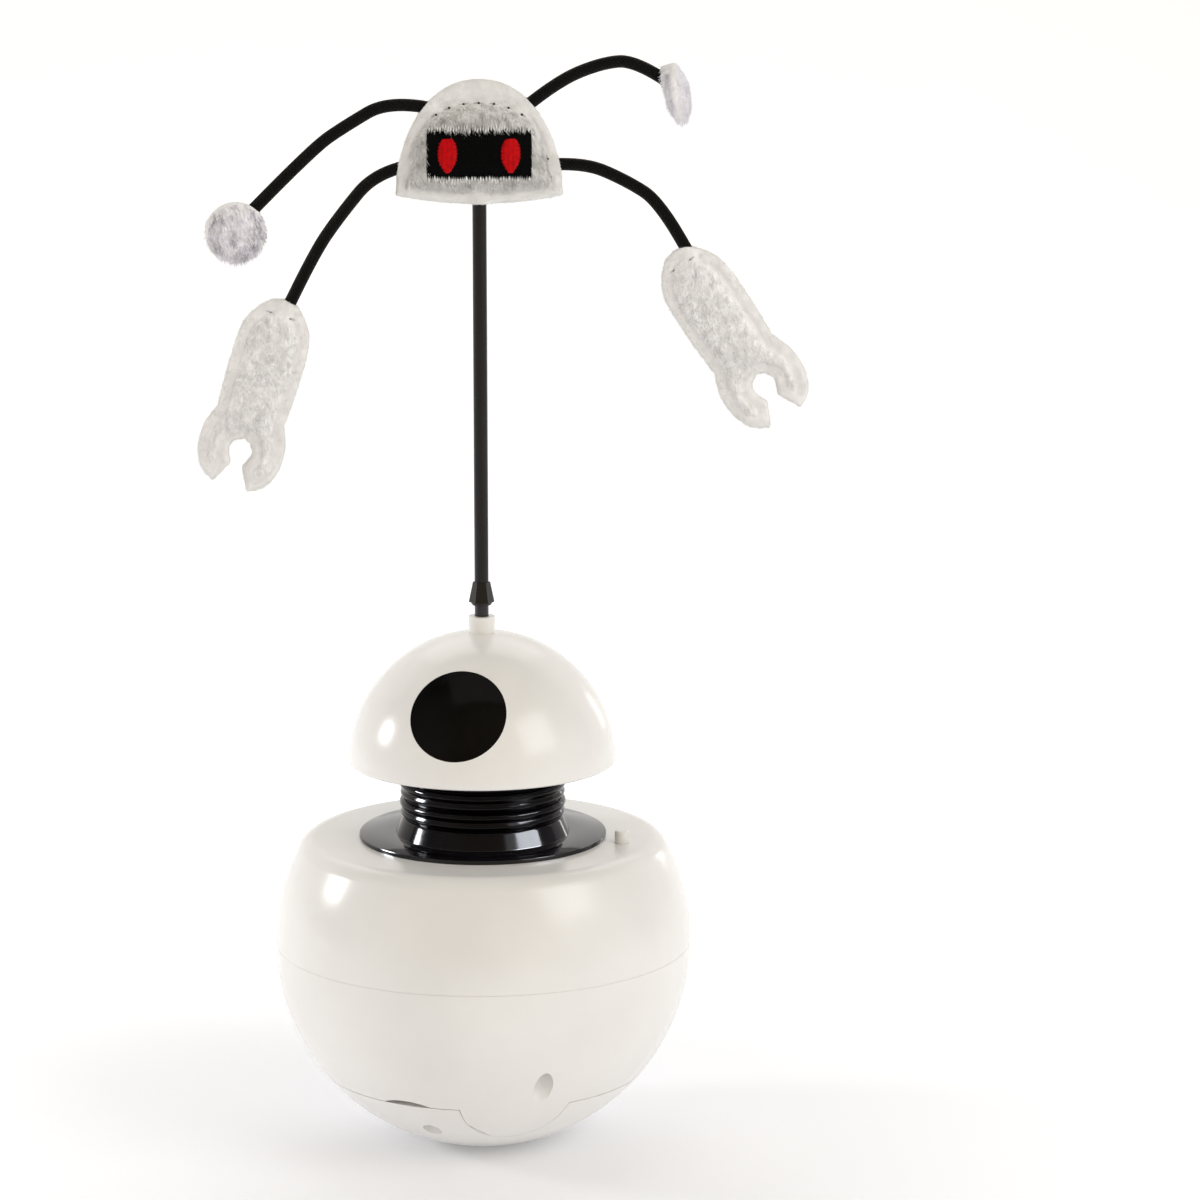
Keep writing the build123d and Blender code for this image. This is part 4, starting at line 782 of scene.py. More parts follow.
def random_number(tree, low, high, seed):
    """Random number for each element."""
    inputs = {2: low, 3: high, "Seed": seed}
    return add(tree, "FunctionNodeRandomValue", inputs, data_type="FLOAT").outputs[1]


def aligned(tree, way, axis):
    """Rotation that turns an axis to a direction."""
    return add(tree, "FunctionNodeAlignRotationToVector", {"Vector": way}, axis=axis).outputs[0]


def position_of(tree):
    """Position of each point as X, Y and Z."""
    return separated(tree, add(tree, "GeometryNodeInputPosition").outputs[0])


def pile_tree(material):
    """Tufts over a surface: each leans from the surface's normal towards the nap, bent and tapered."""
    tree, given = geometry_tree(
        "pile", Density="Float", Length="Float", Width="Float", Nap="Vector", Loose="Float", Seed="Int"
    )
    zone = add(tree, "GeometryNodeInputNamedAttribute", {"Name": "tuft_zone"}, data_type="FLOAT").outputs[0]
    amount = calc(tree, "MULTIPLY", zone, given["Density"])
    spots = add(
        tree, "GeometryNodeDistributePointsOnFaces",
        {"Mesh": given["Geometry"], "Density": amount, "Seed": given["Seed"]}, distribute_method="RANDOM",
    ).outputs
    stray = add(
        tree, "FunctionNodeRandomValue", {0: (-1.0, -1.0, -1.0), 1: (1.0, 1.0, 1.0), "Seed": given["Seed"]},
        data_type="FLOAT_VECTOR",
    ).outputs[0]
    lean = vector_calc(tree, "ADD", given["Nap"], vector_calc(tree, "SCALE", stray, Scale=given["Loose"]))
    aim = vector_calc(tree, "ADD", spots["Normal"], lean)
    corners = {"Vertices": 3, "Side Segments": 3, "Radius Top": 0.0}
    blade = add(
        tree, "GeometryNodeMeshCone", {**corners, "Radius Bottom": given["Width"], "Depth": given["Length"]},
        fill_type="NONE",
    ).outputs["Mesh"]
    share = calc(tree, "DIVIDE", position_of(tree)["Z"], given["Length"])
    bend = calc(tree, "MULTIPLY", calc(tree, "POWER", share, 2.0), given["Length"])
    shift = combined(tree, X=calc(tree, "MULTIPLY", bend, 0.4))
    bent = add(tree, "GeometryNodeSetPosition", {"Geometry": blade, "Offset": shift}).outputs["Geometry"]
    return finish_tree(tree, material, {
        "Points": spots["Points"], "Instance": bent, "Rotation": aligned(tree, aim, "Z"),
        "Scale": random_number(tree, 0.6, 1.25, 3),
    })


def stitch_tree(material):
    """Small stitches along a line, each turned along it."""
    tree, given = geometry_tree("stitches", Pitch="Float", Stitch="Vector")
    line = add(tree, "GeometryNodeMeshToCurve", {"Mesh": given["Geometry"]}).outputs["Curve"]
    even = add(tree, "GeometryNodeResampleCurve", {"Curve": line, "Length": given["Pitch"]}, mode="LENGTH")
    way = add(tree, "GeometryNodeInputTangent").outputs[0]
    bead = add(tree, "GeometryNodeMeshIcoSphere", {"Radius": 0.5, "Subdivisions": 2}).outputs["Mesh"]
    return finish_tree(tree, material, {
        "Points": even.outputs["Curve"], "Instance": bead, "Rotation": aligned(tree, way, "X"),
        "Scale": given["Stitch"],
    })


def thread_tree(material):
    """Rows of satin stitches: spindle-shaped threads side by side along X, standing along Z."""
    tree, given = geometry_tree(
        "satin", Count="Int", Pitch="Float", Length="Float", Width="Float", Ragged="Float", Blunt="Float", Seed="Int"
    )
    span = calc(tree, "MULTIPLY_ADD", given["Count"], -0.5, 0.5)
    start = combined(tree, X=calc(tree, "MULTIPLY", span, given["Pitch"]))
    step = combined(tree, X=given["Pitch"])
    row = add(
        tree, "GeometryNodeMeshLine", {"Count": given["Count"], "Start Location": start, "Offset": step},
        mode="OFFSET",
    ).outputs["Mesh"]
    slide = calc(tree, "MULTIPLY", random_number(tree, -1.0, 1.0, given["Seed"]), given["Ragged"])
    placed = add(tree, "GeometryNodeSetPosition", {"Geometry": row, "Offset": combined(tree, Z=slide)})
    rod = add(
        tree, "GeometryNodeMeshCylinder", {"Vertices": 6, "Side Segments": 14, "Radius": 0.5, "Depth": 1.0},
        fill_type="NONE",
    ).outputs["Mesh"]
    where = position_of(tree)
    share = calc(tree, "ABSOLUTE", calc(tree, "MULTIPLY", where["Z"], 2.0))
    taper = calc(tree, "SUBTRACT", 1.0, calc(tree, "POWER", share, given["Blunt"]))
    wide = calc(tree, "MAXIMUM", taper, 0.08)
    x, y = (calc(tree, "MULTIPLY", where[axis], wide) for axis in "XY")
    slim = combined(tree, X=x, Y=y, Z=where["Z"])
    spindle = add(tree, "GeometryNodeSetPosition", {"Geometry": rod, "Position": slim}).outputs["Geometry"]
    tall = calc(tree, "MULTIPLY", random_number(tree, 0.94, 1.05, given["Seed"]), given["Length"])
    return finish_tree(tree, material, {
        "Points": placed.outputs["Geometry"], "Instance": spindle,
        "Scale": combined(tree, X=given["Width"], Y=given["Width"], Z=tall),
    })


def pile_on(name, piece, tree, zones, density, length, width, nap, loose, seed):
    """Pile that rides with a pad: zones gives how thick it stands at each vertex, the measures are in mm."""
    base = piece.data.copy()
    set_values(base, "tuft_zone", zones)
    pile = grow(
        name, base, tree, Density=density, Length=length * MM, Width=width * MM, Nap=nap, Loose=loose, Seed=seed
    )
    attach(pile, "wand")


def values_of(mesh, name):
    """A float attribute of a mesh as an array."""
    values = np.empty(len(mesh.vertices), np.float32)
    mesh.attributes[name].data.foreach_get("value", values)
    return values


def set_values(mesh, name, values):
    """Stores an array as a float attribute of a mesh."""
    mesh.attributes.new(name, "FLOAT", "POINT").data.foreach_set("value", np.asarray(values, np.float32))


def places_of(mesh):
    """The vertices of a mesh in mm."""
    values = np.empty(len(mesh.vertices) * 3, np.float32)
    mesh.vertices.foreach_get("co", values)
    return values.reshape(-1, 3) / MM


def line_mesh(name, rings):
    """Closed lines as an edge mesh, open where their points lie more than 2 mm apart."""
    points, edges = [], []
    for ring in rings:
        first = len(points)
        points += [tuple(p) for p in ring]
        pairs = [(i, (i + 1) % len(ring)) for i in range(len(ring))]
        edges += [(first + i, first + j) for i, j in pairs if (ring[i] - ring[j]).length < 2 * MM]
    mesh = bpy.data.meshes.new(name)
    mesh.from_pydata(points, edges, [])
    return mesh


# ---- The routes and places that the frame's plush robot has, as (x, z) in mm over the hem ----
ARM_ROUTES = {
    "upper_left": ((-9.5, 20.0), (-18.7, 22.0), (-28.2, 16.6), (-35.0, 12.1), (-48.4, -1.2)),
    "lower_left": ((-13.5, 8.3), (-21.5, 7.0), (-29.4, -2.4), (-35.3, -10.8), (-41.1, -22.6)),
    "upper_right": ((8.5, 19.3), (16.1, 25.4), (25.6, 29.3), (33.1, 29.9), (40.4, 24.9)),
    "lower_right": ((14.0, 8.2), (21.8, 8.9), (30.8, 5.3), (38.6, 0.5), (44.7, -10.7)),
}
ARM_SWING = {"upper_left": 9.0, "lower_left": -7.0, "upper_right": 6.0, "lower_right": -10.0}
HANDS = {"upper_left": ((-51.4, -5.2), 0.0, 0.0), "upper_right": ((42.0, 22.9), 76.0, -10.0)}
CLAWS = {"lower_left": ((-41.2, -20.4), -107.7), "lower_right": ((41.1, -9.4), -55.5)}


def turned_by(degrees, axis):
    """Turn about an axis through the origin."""
    return Matrix.Rotation(radians(degrees), 4, axis)


def swing(name):
    """Turn of an arm and its hand about the upright line where it leaves the head."""
    pivot = Vector((ARM_ROUTES[name][0][0], 0, 0)) * MM
    return Matrix.Translation(pivot) @ turned_by(ARM_SWING[name], "Z") @ Matrix.Translation(-pivot)


def arm_line(name):
    """Points along an arm, read from the smooth curve that its route's points control."""
    curve = bpy.data.curves.new("route", "CURVE")
    curve.dimensions = "3D"
    spline = curve.splines.new("NURBS")
    spline.points.add(len(ARM_ROUTES[name]) - 1)
    for point, (x, z) in zip(spline.points, ARM_ROUTES[name]):
        point.co = (*(swing(name) @ (Vector((x, 0, HEM_Z + z)) * MM)), 1.0)
    spline.order_u = 3
    spline.use_endpoint_u = True
    spline.resolution_u = 24
    holder = stand("route", curve)
    mesh = bpy.data.meshes.new_from_object(holder.evaluated_get(bpy.context.evaluated_depsgraph_get()))
    line = [v.co.copy() for v in mesh.vertices]
    bpy.data.objects.remove(holder)
    bpy.data.meshes.remove(mesh)
    return line


def over_hem(x, z):
    """Move to a place in the head's plane."""
    return Matrix.Translation(Vector((x, 0, HEM_Z + z)) * MM)


def head_runs(settings):
    """Front outline of the head: a tall arch over a hem that sags in the middle."""
    half, rise = settings.head_width / MM / 2, settings.head_height / MM
    sag = settings.hem_sag / MM
    share = ((1.0, sag / rise), (0.955, 0.33), (0.825, 0.595), (0.615, 0.81), (0.33, 0.955), (0.0, 1.0))
    right = [Vector((half * x, rise * z)) for x, z in share]
    arch = right + [Vector((-p.x, p.y)) for p in reversed(right[:-1])]
    hem = [Vector((-half + 2 * half * t, sag * (2 * t - 1) ** 2)) for t in np.linspace(0, 1, 25)]
    return [smooth_line(arch, 12), hem]


# A claw in mm: its length, half widths, and the round bite between its jaws.
CLAW_LENGTH, PALM_HALF, JAW_HALF, TIP_HALF = 42.3, 7.9, 9.1, 3.8
BITE_START, BITE_END, BITE_HALF, LIP_HALF = 31.4, 37.2, 2.5, 1.2


def claw_runs():
    """Pincer outline from wrist to tips along +X: a palm, two jaws and a round bite between them."""
    palm = ((0, 0), (0.03, 0.44), (0.155, 0.91), (0.37, 1.0), (0.62, 0.95))
    knuckle = ((0.728, 1.0), (0.851, 1.0), (0.953, 0.775))
    side = [Vector((CLAW_LENGTH * a, PALM_HALF * b)) for a, b in palm]
    bends = [Vector((CLAW_LENGTH * a, JAW_HALF * b)) for a, b in knuckle]
    jaw = [side[-1], *bends, Vector((CLAW_LENGTH, TIP_HALF))]
    middle, mouth = (BITE_START + BITE_END) / 2, Vector((BITE_END, LIP_HALF))
    bite = [Vector((BITE_START, 0)), Vector((BITE_START + 0.9, 1.75)), Vector((middle, BITE_HALF)), mouth]
    upper = [smooth_line(side, 8), smooth_line(jaw, 8), [jaw[-1], mouth], smooth_line(bite[::-1], 6)]
    lower = [[Vector((p.x, -p.y)) for p in reversed(run)] for run in reversed(upper)]
    return upper + lower


# ---- Operators ----
class LASERTOY_OT_casing(bpy.types.Operator):
    """Gives the casing, neck, window and wand their moulded finishes"""
    bl_idname = "lasertoy.casing"
    bl_label = "Casing finishes"

    def execute(self, context):
        look = context.scene.lasertoy_casing
        peel = look.orange_peel / MM
        white = glossy_abs("polished_abs_white", rgba(look.white), peel)
        finishes = {
            "shell_white": white,
            "neck_black": neck_plastic("polished_abs_black", rgba(look.black), peel),
            "window_black": smoked_acrylic("smoked_acrylic"),
            "plug_black": moulded("moulded_nylon_black", linear("#040303"), 0.16, 0.3, 0.003),
            "rod_black": extruded_rod("drawn_nylon_rod"),
        }
        dress(finishes)
        neck = turned("ribbed_neck", neck_section(), finishes["neck_black"])
        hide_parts("neck_collar")
        attach(neck, "base")
        lip = turned("seam_lip", [(44.05, 44.02), (44.9, 44.02), (44.9, 44.16), (44.05, 44.16)], white)
        attach(lip, "base")
        return {"FINISHED"}


class LASERTOY_OT_works(bpy.types.Operator):
    """Gives everything inside the casing its own finish"""
    bl_idname = "lasertoy.works"
    bl_label = "Inner works"

    def execute(self, context):
        dress({
            # Natural ABS of trays and gearbox plates: pale grey, matt.
            "inner_plastic": moulded("moulded_abs_natural", linear("#C9C7C1"), 0.45, 0.4),
            # Acetal gears: milky white, waxy gloss.
            "gear_plastic": moulded("moulded_acetal", linear("#E6E2D6"), 0.28, 0.5, 0.004, 1.48),
            # Nylon connector housing: off-white.
            "connector_white": moulded("moulded_nylon_white", linear("#E9E6DC"), 0.4, 0.3),
            # Epoxy chip and phenolic switch bodies: grey-black, fine matt.
            "chip_black": moulded("moulded_epoxy_black", linear("#1B1B1C"), 0.6, 0.15, 0.006),
            "board_green": solder_mask("solder_masked_laminate"),
            # Zinc-plated steel screws and axles: bluish white metal.
            "screw_steel": metal("zinc_plated_steel", linear("#BFC3C6"), 0.3, 0.2),
            # Nickel-plated spring steel contacts: warm bright metal.
            "contact_metal": metal("nickel_plated_steel", linear("#C9C3B4"), 0.22, 0.15),
            # Deep-drawn motor can: bright, drawn along the can.
            "motor_steel": metal("drawn_steel_can", linear("#B4B6B7"), 0.34, 0.3, (1.0, 1.0, 0.1)),
            # Aluminium capacitor can: soft white metal.
            "capacitor_can": metal("impact_extruded_aluminium", linear("#C4C6C8"), 0.38, 0.3, (1.0, 1.0, 0.15)),
            "cell_jacket": cell_film("cell_film"),
            # Cast iron ballast: dark grey, coarse sand-cast skin.
            "ballast_iron": metal("sand_cast_iron", linear("#5B5A58"), 0.62, 0.7, relief=0.05),
            # Free-turned brass: fine rings round the axis.
            "brass_turned": metal("turned_brass", linear("#CDA85A"), 0.26, 0.12, (0.3, 0.3, 1.0)),
            # Copper tracks under a light tarnish.
            "track_copper": metal("rolled_copper", linear("#C77A52"), 0.3, 0.2),
            "lens_glass": moulded_lens("moulded_lens"),
        })
        return {"FINISHED"}


class LASERTOY_OT_plush_head(bpy.types.Operator):
    """Sews, stuffs and naps the plush head"""
    bl_idname = "lasertoy.plush_head"
    bl_label = "Plush head"

    def execute(self, context):
        look = context.scene.lasertoy_plush
        stitchery = context.scene.lasertoy_embroidery
        outline = closed_outline(head_runs(look), 0.6)
        rise = look.head_height / MM
        crest, crest_height, hem_extra = 0.72 * rise, 0.28 * rise, 0.9
        high = np.clip((outline[:, 1] - crest) / crest_height, 0, 1)
        hem = outline[:, 1] < 2.0 * look.hem_sag / MM
        seams = look.head_seam / MM + np.where(hem, hem_extra, 0.0) + look.crest_seam / MM * high
        rod_top, rod_radius, rod_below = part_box("wand_rod")[1].z, 1.5, 0.006
        stem = [Vector((0, 0, z)) for z in np.linspace(HEM_Z * MM - rod_below, rod_top, 40)]
        radius = context.scene.lasertoy_arms.radius / MM
        wires = [(arm_line(name), radius) for name in ARM_ROUTES] + [(stem, rod_radius)]
        pad = Pad(
            outline, look.head_thickness / MM, seams, edge=1.3, place=over_hem(0, 0), spacing=0.75,
            pitch=look.stitch_pitch / MM, groove=0.75, wires=wires,
        )
        cloth = shorn_plush("polyester_plush", rgba(look.felt), rgba(look.pile), rgba(look.shade))
        head = pad_piece(pad, "plush_bust", cloth, "plush_head")
        points, zone, gap = places_of(head.data), values_of(head.data, "pile_zone"), values_of(head.data, "seam_gap")
        low = stitchery.visor_lift / MM
        half, tall = stitchery.visor_width / MM / 2, stitchery.visor_height / MM
        under = 0.1             # the pile reaches this far under the visor's edges
        free = ~(
            (np.abs(points[:, 0]) < half - under) & (points[:, 1] < 0)
            & (points[:, 2] > HEM_Z + low + under) & (points[:, 2] < HEM_Z + low + tall - under)
        )
        pile_on(
            "bust_pile", head, fibre("grey", look), zone * free, density=9.5e6,
            length=look.pile_length / MM, width=0.1, nap=(0.1, 0.0, -1.5), loose=0.6, seed=4,
        )
        pile_on(
            "bust_fuzz", head, fibre("felt", look), (1 - zone) * (gap < -0.7), density=5.0e6,
            length=0.34, width=0.06, nap=(0.1, 0.0, -0.8), loose=0.9, seed=11,
        )
        # The pile covers the head's seam except over the crest and low on the right side.
        sew("bust", pad, head, lambda x, z: (z > 18.7) | ((x > 10) & (z > 5.5) & (z < 9.8)))
        return {"FINISHED"}


# Half width of an eye from its pointed lower end to its rounder top.
EYE_SHAPE = (
    (0.0, 0.05, 0.12, 0.25, 0.4, 0.52, 0.65, 0.78, 0.9, 1.0),
    (0.2, 0.36, 0.52, 0.79, 0.96, 1.0, 0.99, 0.93, 0.77, 0.5),
)
# In mm: spacing of the rows of thread, half depth and half height of a row, how far it bulges and slants, how
# uneven its ends are, and how far the eyes sit under the visor's middle.
EYE_PITCH, EYE_THREAD_DEPTH, EYE_THREAD_HALF = 0.27, 0.2, 0.19
EYE_BULGE, EYE_SLANT, EYE_RAGGED, EYE_DROP = 0.12, 0.06, 0.09, 0.2


class LASERTOY_OT_visor(bpy.types.Operator):
    """Embroiders the visor and its two eyes on the plush head"""
    bl_idname = "lasertoy.visor"
    bl_label = "Embroidered visor"

    def execute(self, context):
        look = context.scene.lasertoy_embroidery
        bust = bpy.data.objects.get("plush_bust")
        if bust is None:
            raise RuntimeError("make the plush head before its visor")
        ground = surface_tree(bust)

        def drape(piece, lift):
            """Lays a flat piece of stitching on the head's front, lift mm over it, evened out over a small cross."""
            reach, front, beside = 0.7, -0.05, -0.003
            for vertex in piece.data.vertices:
                x, y, z = vertex.co
                hits = []
                for dx, dz in ((0, 0), (reach, 0), (-reach, 0), (0, reach), (0, -reach)):
                    hit = ground.ray_cast(Vector((x + dx * MM, front, z + dz * MM)), Vector((0, 1, 0)))[0]
                    if hit is not None:
                        hits.append(hit.y)
                depth = sum(hits) / len(hits) if hits else beside
                vertex.co = (x, depth - lift * MM + y, z)
            piece.data.update()

        def satin_row(name, material, high, lift, **values):
            """A row of stitches across the head's front at that height."""
            row = grow(name, bpy.data.meshes.new("row"), thread_tree(material), **values)
            row.data.transform(Matrix.Translation((0, 0, high)))
            drape(row, lift)
            return row

        thread, tall = look.thread, look.visor_height
        middle = HEM_Z * MM + look.visor_lift + tall / 2
        black = satin_thread("rayon_thread_black", rgba(look.visor), "Z", 0.04)
        visor = satin_row(
            "stitched_visor", black, middle, 0.25, Count=int(round(look.visor_width / thread)) + 1, Pitch=thread,
            Length=tall + 0.5 * MM, Width=thread * 1.5, Ragged=0.45 * MM, Blunt=7.0, Seed=5,
        )
        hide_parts("head_visor")
        attach(visor, "wand")

        # Tufts of the pile that the needle pushed aside stand in teeth over the visor's upper and lower edges.
        tufts = bpy.data.materials["fibre_grey"]
        for name, edge, count, pitch, stitch, wide, seed in (
            ("fringe_top", tall / 2 + 0.5 * MM, 38, 0.56, 1.2, 0.32, 8),
            ("fringe_bottom", -tall / 2 - 0.4 * MM, 36, 0.6, 1.3, 0.36, 9),
        ):
            fringe = satin_row(
                name, tufts, middle + edge, 0.55, Count=count, Pitch=pitch * MM, Length=stitch * MM, Width=wide * MM,
                Ragged=0.5 * MM, Blunt=1.3, Seed=seed,
            )
            attach(fringe, "wand")

        red = satin_thread("rayon_thread_red", rgba(look.eye), "X", 0.12)
        points, faces = [], []
        steps, corners = 10, 6
        rows = int(look.eye_height / MM / EYE_PITCH)
        for side in (-1, 1):
            for row in range(rows):
                t = (row + 0.5) / rows
                half = look.eye_width / MM / 2 * np.interp(t, *EYE_SHAPE) + EYE_RAGGED * sin(row * 2.4 + side)
                z = middle / MM - EYE_DROP + (t - 0.5) * look.eye_height / MM
                first = len(points)
                for step in range(steps + 1):
                    u = -1 + 2 * step / steps
                    thin = sqrt(max(0.0, 1 - u**6))
                    for corner in range(corners):
                        turn = corner * 2 * pi / corners
                        points.append((
                            side * look.eye_spacing / MM / 2 + u * half,
                            -EYE_THREAD_DEPTH * cos(turn) * thin - EYE_BULGE * thin,
                            z + EYE_THREAD_HALF * sin(turn) * thin + EYE_SLANT * u,
                        ))
                for start in range(first, first + steps * corners, corners):
                    for corner in range(corners):
                        a, b = start + corner, start + (corner + 1) % corners
                        faces.append((a, b, b + corners, a + corners))
        eyes = piece_from("stitched_eyes", points, faces, red)
        fix_normals(eyes)
        drape(eyes, 0.62)
        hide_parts("visor_eyes")
        attach(eyes, "wand")
        return {"FINISHED"}


class LASERTOY_OT_arms(bpy.types.Operator):
    """Draws the woven sleeves over the bent arms"""
    bl_idname = "lasertoy.arms"
    bl_label = "Woven arms"

    def execute(self, context):
        look = context.scene.lasertoy_arms
        sleeve = woven_sleeve("woven_polyester_sleeve", rgba(look.sleeve), look.strand / MM)
        for name in ARM_ROUTES:
            centre = [place / MM for place in arm_line(name)]
            arm = sleeved("sleeved_arm_" + name, centre, look.radius / MM, sleeve)
            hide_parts("arm_" + name)
            attach(arm, "wand")
        return {"FINISHED"}


class LASERTOY_OT_hands(bpy.types.Operator):
    """Sews, stuffs and naps the round hands and the claws"""
    bl_idname = "lasertoy.hands"
    bl_label = "Hands and claws"

    def execute(self, context):
        look = context.scene.lasertoy_plush
        cloth = shorn_plush("pale_polyester_plush", linear("#E4E2E0"), linear("#F2F1F0"), linear("#D8D6D4"))
        arm = context.scene.lasertoy_arms.radius / MM
        pitch, radius = look.stitch_pitch / MM, look.pad_radius / MM
        circle = [Vector((radius * cos(a), radius * sin(a))) for a in np.linspace(0, 2 * pi, 73)]
        for name, ((x, z), yaw, tilt) in HANDS.items():
            side = name.split("_")[1]
            place = swing(name) @ over_hem(x, z) @ turned_by(tilt, "Y") @ turned_by(yaw, "Z")
            pad = Pad(
                closed_outline([circle], 0.5), look.pad_thickness / MM, seam=1.4, edge=0.9, place=place, spacing=0.7,
                pitch=pitch * 0.8, groove=0.88, wires=[(arm_line(name), arm)],
            )
            hand = pad_piece(pad, "plush_hand_" + side, cloth, "pad_" + side)
            zone = np.clip(values_of(hand.data, "edge_depth") / 0.5, 0.25, 1)
            pile_on(
                "hand_pile_" + side, hand, fibre("hand_" + side, look), zone, density=11e6, length=0.95,
                width=0.1, nap=(0.4, 0.0, -1.6), loose=0.6, seed=21,
            )
        for name, ((x, z), angle) in CLAWS.items():
            side = name.split("_")[1]
            place = swing(name) @ over_hem(x, z) @ turned_by(-angle, "Y")
            pad = Pad(
                closed_outline(claw_runs(), 0.55), look.claw_thickness / MM, look.claw_seam / MM, edge=1.15,
                place=place, spacing=0.85, pitch=pitch, groove=0.92, wires=[(arm_line(name), arm)],
            )
            claw = pad_piece(pad, "plush_claw_" + side, cloth, "claw_" + side)
            zone, gap = values_of(claw.data, "pile_zone"), values_of(claw.data, "seam_gap")
            pile_on(
                "claw_pile_" + side, claw, fibre("pale", look), zone, density=8.0e6, length=0.85,
                width=0.1, nap=(0.0, 0.0, -1.9), loose=0.6, seed=31,
            )
            pile_on(
                "claw_fuzz_" + side, claw, fibre("felt", look), (1 - zone) * (gap < -0.6),
                density=6.0e6, length=0.45, width=0.07, nap=(0.0, 0.0, -0.6), loose=0.9, seed=37,
            )
            # Grey beads of painted needle-hole shade, near the wrist only.
            sew("claw_" + side, pad, claw, lambda x, z: x < 3.5, 0.38, "#77777C")
        return {"FINISHED"}


# Name starts of the pieces that a light for one kind of piece reaches, and the direction of the key light.
PLUSH_PIECES = ("plush_", "bust_", "hand_", "claw_", "seam_thread", "seam_holes", "stitched_", "fringe_")
PAW_PIECES = ("plush_hand", "plush_claw", "hand_", "claw_")
NECK_PIECES = ("ribbed_neck",)
KEY_WAY = (-0.943, 0.153, 0.298)


class LASERTOY_OT_stage(bpy.types.Operator):
    """Sets up floor, backdrop, soft light and camera"""
    bl_idname = "lasertoy.stage"
    bl_label = "Stage"

    def execute(self, context):
        look, scene = context.scene.lasertoy_stage, context.scene
        # Painted paper: matt, with a painted glow that grows with distance from the toy, so the paper is darker near
        # it.
        paper = Surface(
            "painted_backdrop", Roughness=0.9, Specular_IOR_Level=0.1, Emission_Color=(0.98, 0.985, 1.0, 1.0)
        )
        far = vector_calc(paper.tree, "LENGTH", paper.place)
        colour = rgba(look.floor)
        paper.linked(
            Emission_Strength=ranged(paper.tree, far, 0.115, 0.37, 0.04, 0.16),
            Base_Color=paper.mottled(150.0, shade_of(colour, 0.99), colour),
        )
        rows = [(-2500, 0), (-1200, 0), (600, 0)]
        rows += [(600 + 900 * sin(a), 900 - 900 * cos(a)) for a in np.linspace(0.1, pi / 2, 12)]
        rows += [(1500, 2600)]
        points = [(x, y, z) for y, z in rows for x in (-3000, -1000, 0, 1000, 3000)]
        corners = [5 * row + column for row in range(len(rows) - 1) for column in range(4)]
        floor = piece_from("backdrop", points, [(c, c + 1, c + 6, c + 5) for c in corners], paper.material)

        world = bpy.data.worlds.new("studio")
        scene.world = world
        world.use_nodes = True
        nodes = world.node_tree
        nodes.nodes.clear()
        way = add(nodes, "ShaderNodeTexCoord").outputs["Generated"]
        walls = (0.0, 0.0, 0.0)
        for toward, start, end, strength, colour in (
            ((0.0, -1.0, 0.0), 0.0, 0.6, look.front_wall, (1.0, 0.86, 0.64)),
            ((-1.0, 0.1, 0.0), 0.25, 0.8, look.left_wall, (0.93, 0.96, 1.02)),
            ((1.0, 0.1, 0.0), 0.25, 0.8, look.right_wall, (1.0, 0.99, 0.97)),
        ):
            glow = ranged(nodes, vector_calc(nodes, "DOT_PRODUCT", way, toward), 0.0, strength, start, end)
            walls = vector_calc(nodes, "ADD", walls, vector_calc(nodes, "SCALE", colour, Scale=glow))
        air = add(nodes, "ShaderNodeBackground", {"Color": walls})
        add(nodes, "ShaderNodeOutputWorld", {"Surface": air.outputs["Background"]})

        for name, way, high, distance, size, watts, lit in (
            ("key", KEY_WAY, 0.06, 0.9, (0.17, 0.17), look.key, None),
            ("fill", (0.69, -0.5, 0.52), 0.06, 0.9, (0.46, 0.46), look.fill, None),
            ("top", (0.0, -0.035, 0.999), 0.06, 1.0, (0.8, 0.8), look.top, None),
            ("rear", (0.0, 0.707, 0.707), 0.06, 1.1, (0.9, 0.6), look.rear, None),
            ("kicker", (0.62, 0.77, 0.14), 0.06, 0.9, (0.06, 0.2), look.kicker, None),
            ("front", (0.42, -0.86, 0.3), 0.21, 0.95, (0.5, 0.5), look.front, PLUSH_PIECES),
            ("paws", (-0.15, -0.9, 0.4), 0.21, 0.95, (0.5, 0.5), look.paws, PAW_PIECES),
            ("neck_key", KEY_WAY, 0.07, 0.9, (0.22, 0.22), look.neck_key, NECK_PIECES),
            ("neck_fill", (0.71, -0.23, 0.665), 0.07, 0.9, (0.48, 0.48), look.neck_fill, NECK_PIECES),
        ):
            light = bpy.data.lights.new(name, "AREA")
            light.shape = "RECTANGLE"
            light.size, light.size_y = size
            light.energy = watts
            light.color = (0.94, 0.97, 1.0) if lit else (1.0, 1.0, 1.0)
            lamp = stand(name, light)
            lamp.location = Vector((0, 0, high)) + Vector(way).normalized() * distance
            lamp.rotation_euler = (-Vector(way)).to_track_quat("-Z", "Y").to_euler()
            if lit:
                group = bpy.data.collections.new("lit_by_" + name)
                for piece in scene.objects:
                    if piece.name.startswith(lit):
                        group.objects.link(piece)
                lamp.light_linking.receiver_collection = group

        camera = bpy.data.cameras.new("camera")
        camera.sensor_width, camera.lens = 36.0, 124.1
        camera.dof.use_dof = False
        seat = stand("camera", camera)
        seat.location = (0.0, -0.870, 0.28841)
        seat.rotation_euler = (radians(90 - 11.028), 0.0, radians(-1.67))
        scene.camera = seat
        scene.view_settings.view_transform = "Standard"
        scene.view_settings.look = "None"
        return {"FINISHED"}


class LASERTOY_PT_panel(bpy.types.Panel):
    """Lists the steps that dress the toy"""
    bl_label = "Laser toy"
    bl_idname = "LASERTOY_PT_panel"
    bl_space_type = "VIEW_3D"
    bl_region_type = "UI"
    bl_category = "Laser toy"

    def draw(self, context):
        for group in GROUPS:
            box = self.layout.box()
            settings = getattr(context.scene, group)
            for key in settings.__annotations__:
                box.prop(settings, key)
        for step in STEPS:
            self.layout.operator(step.bl_idname)


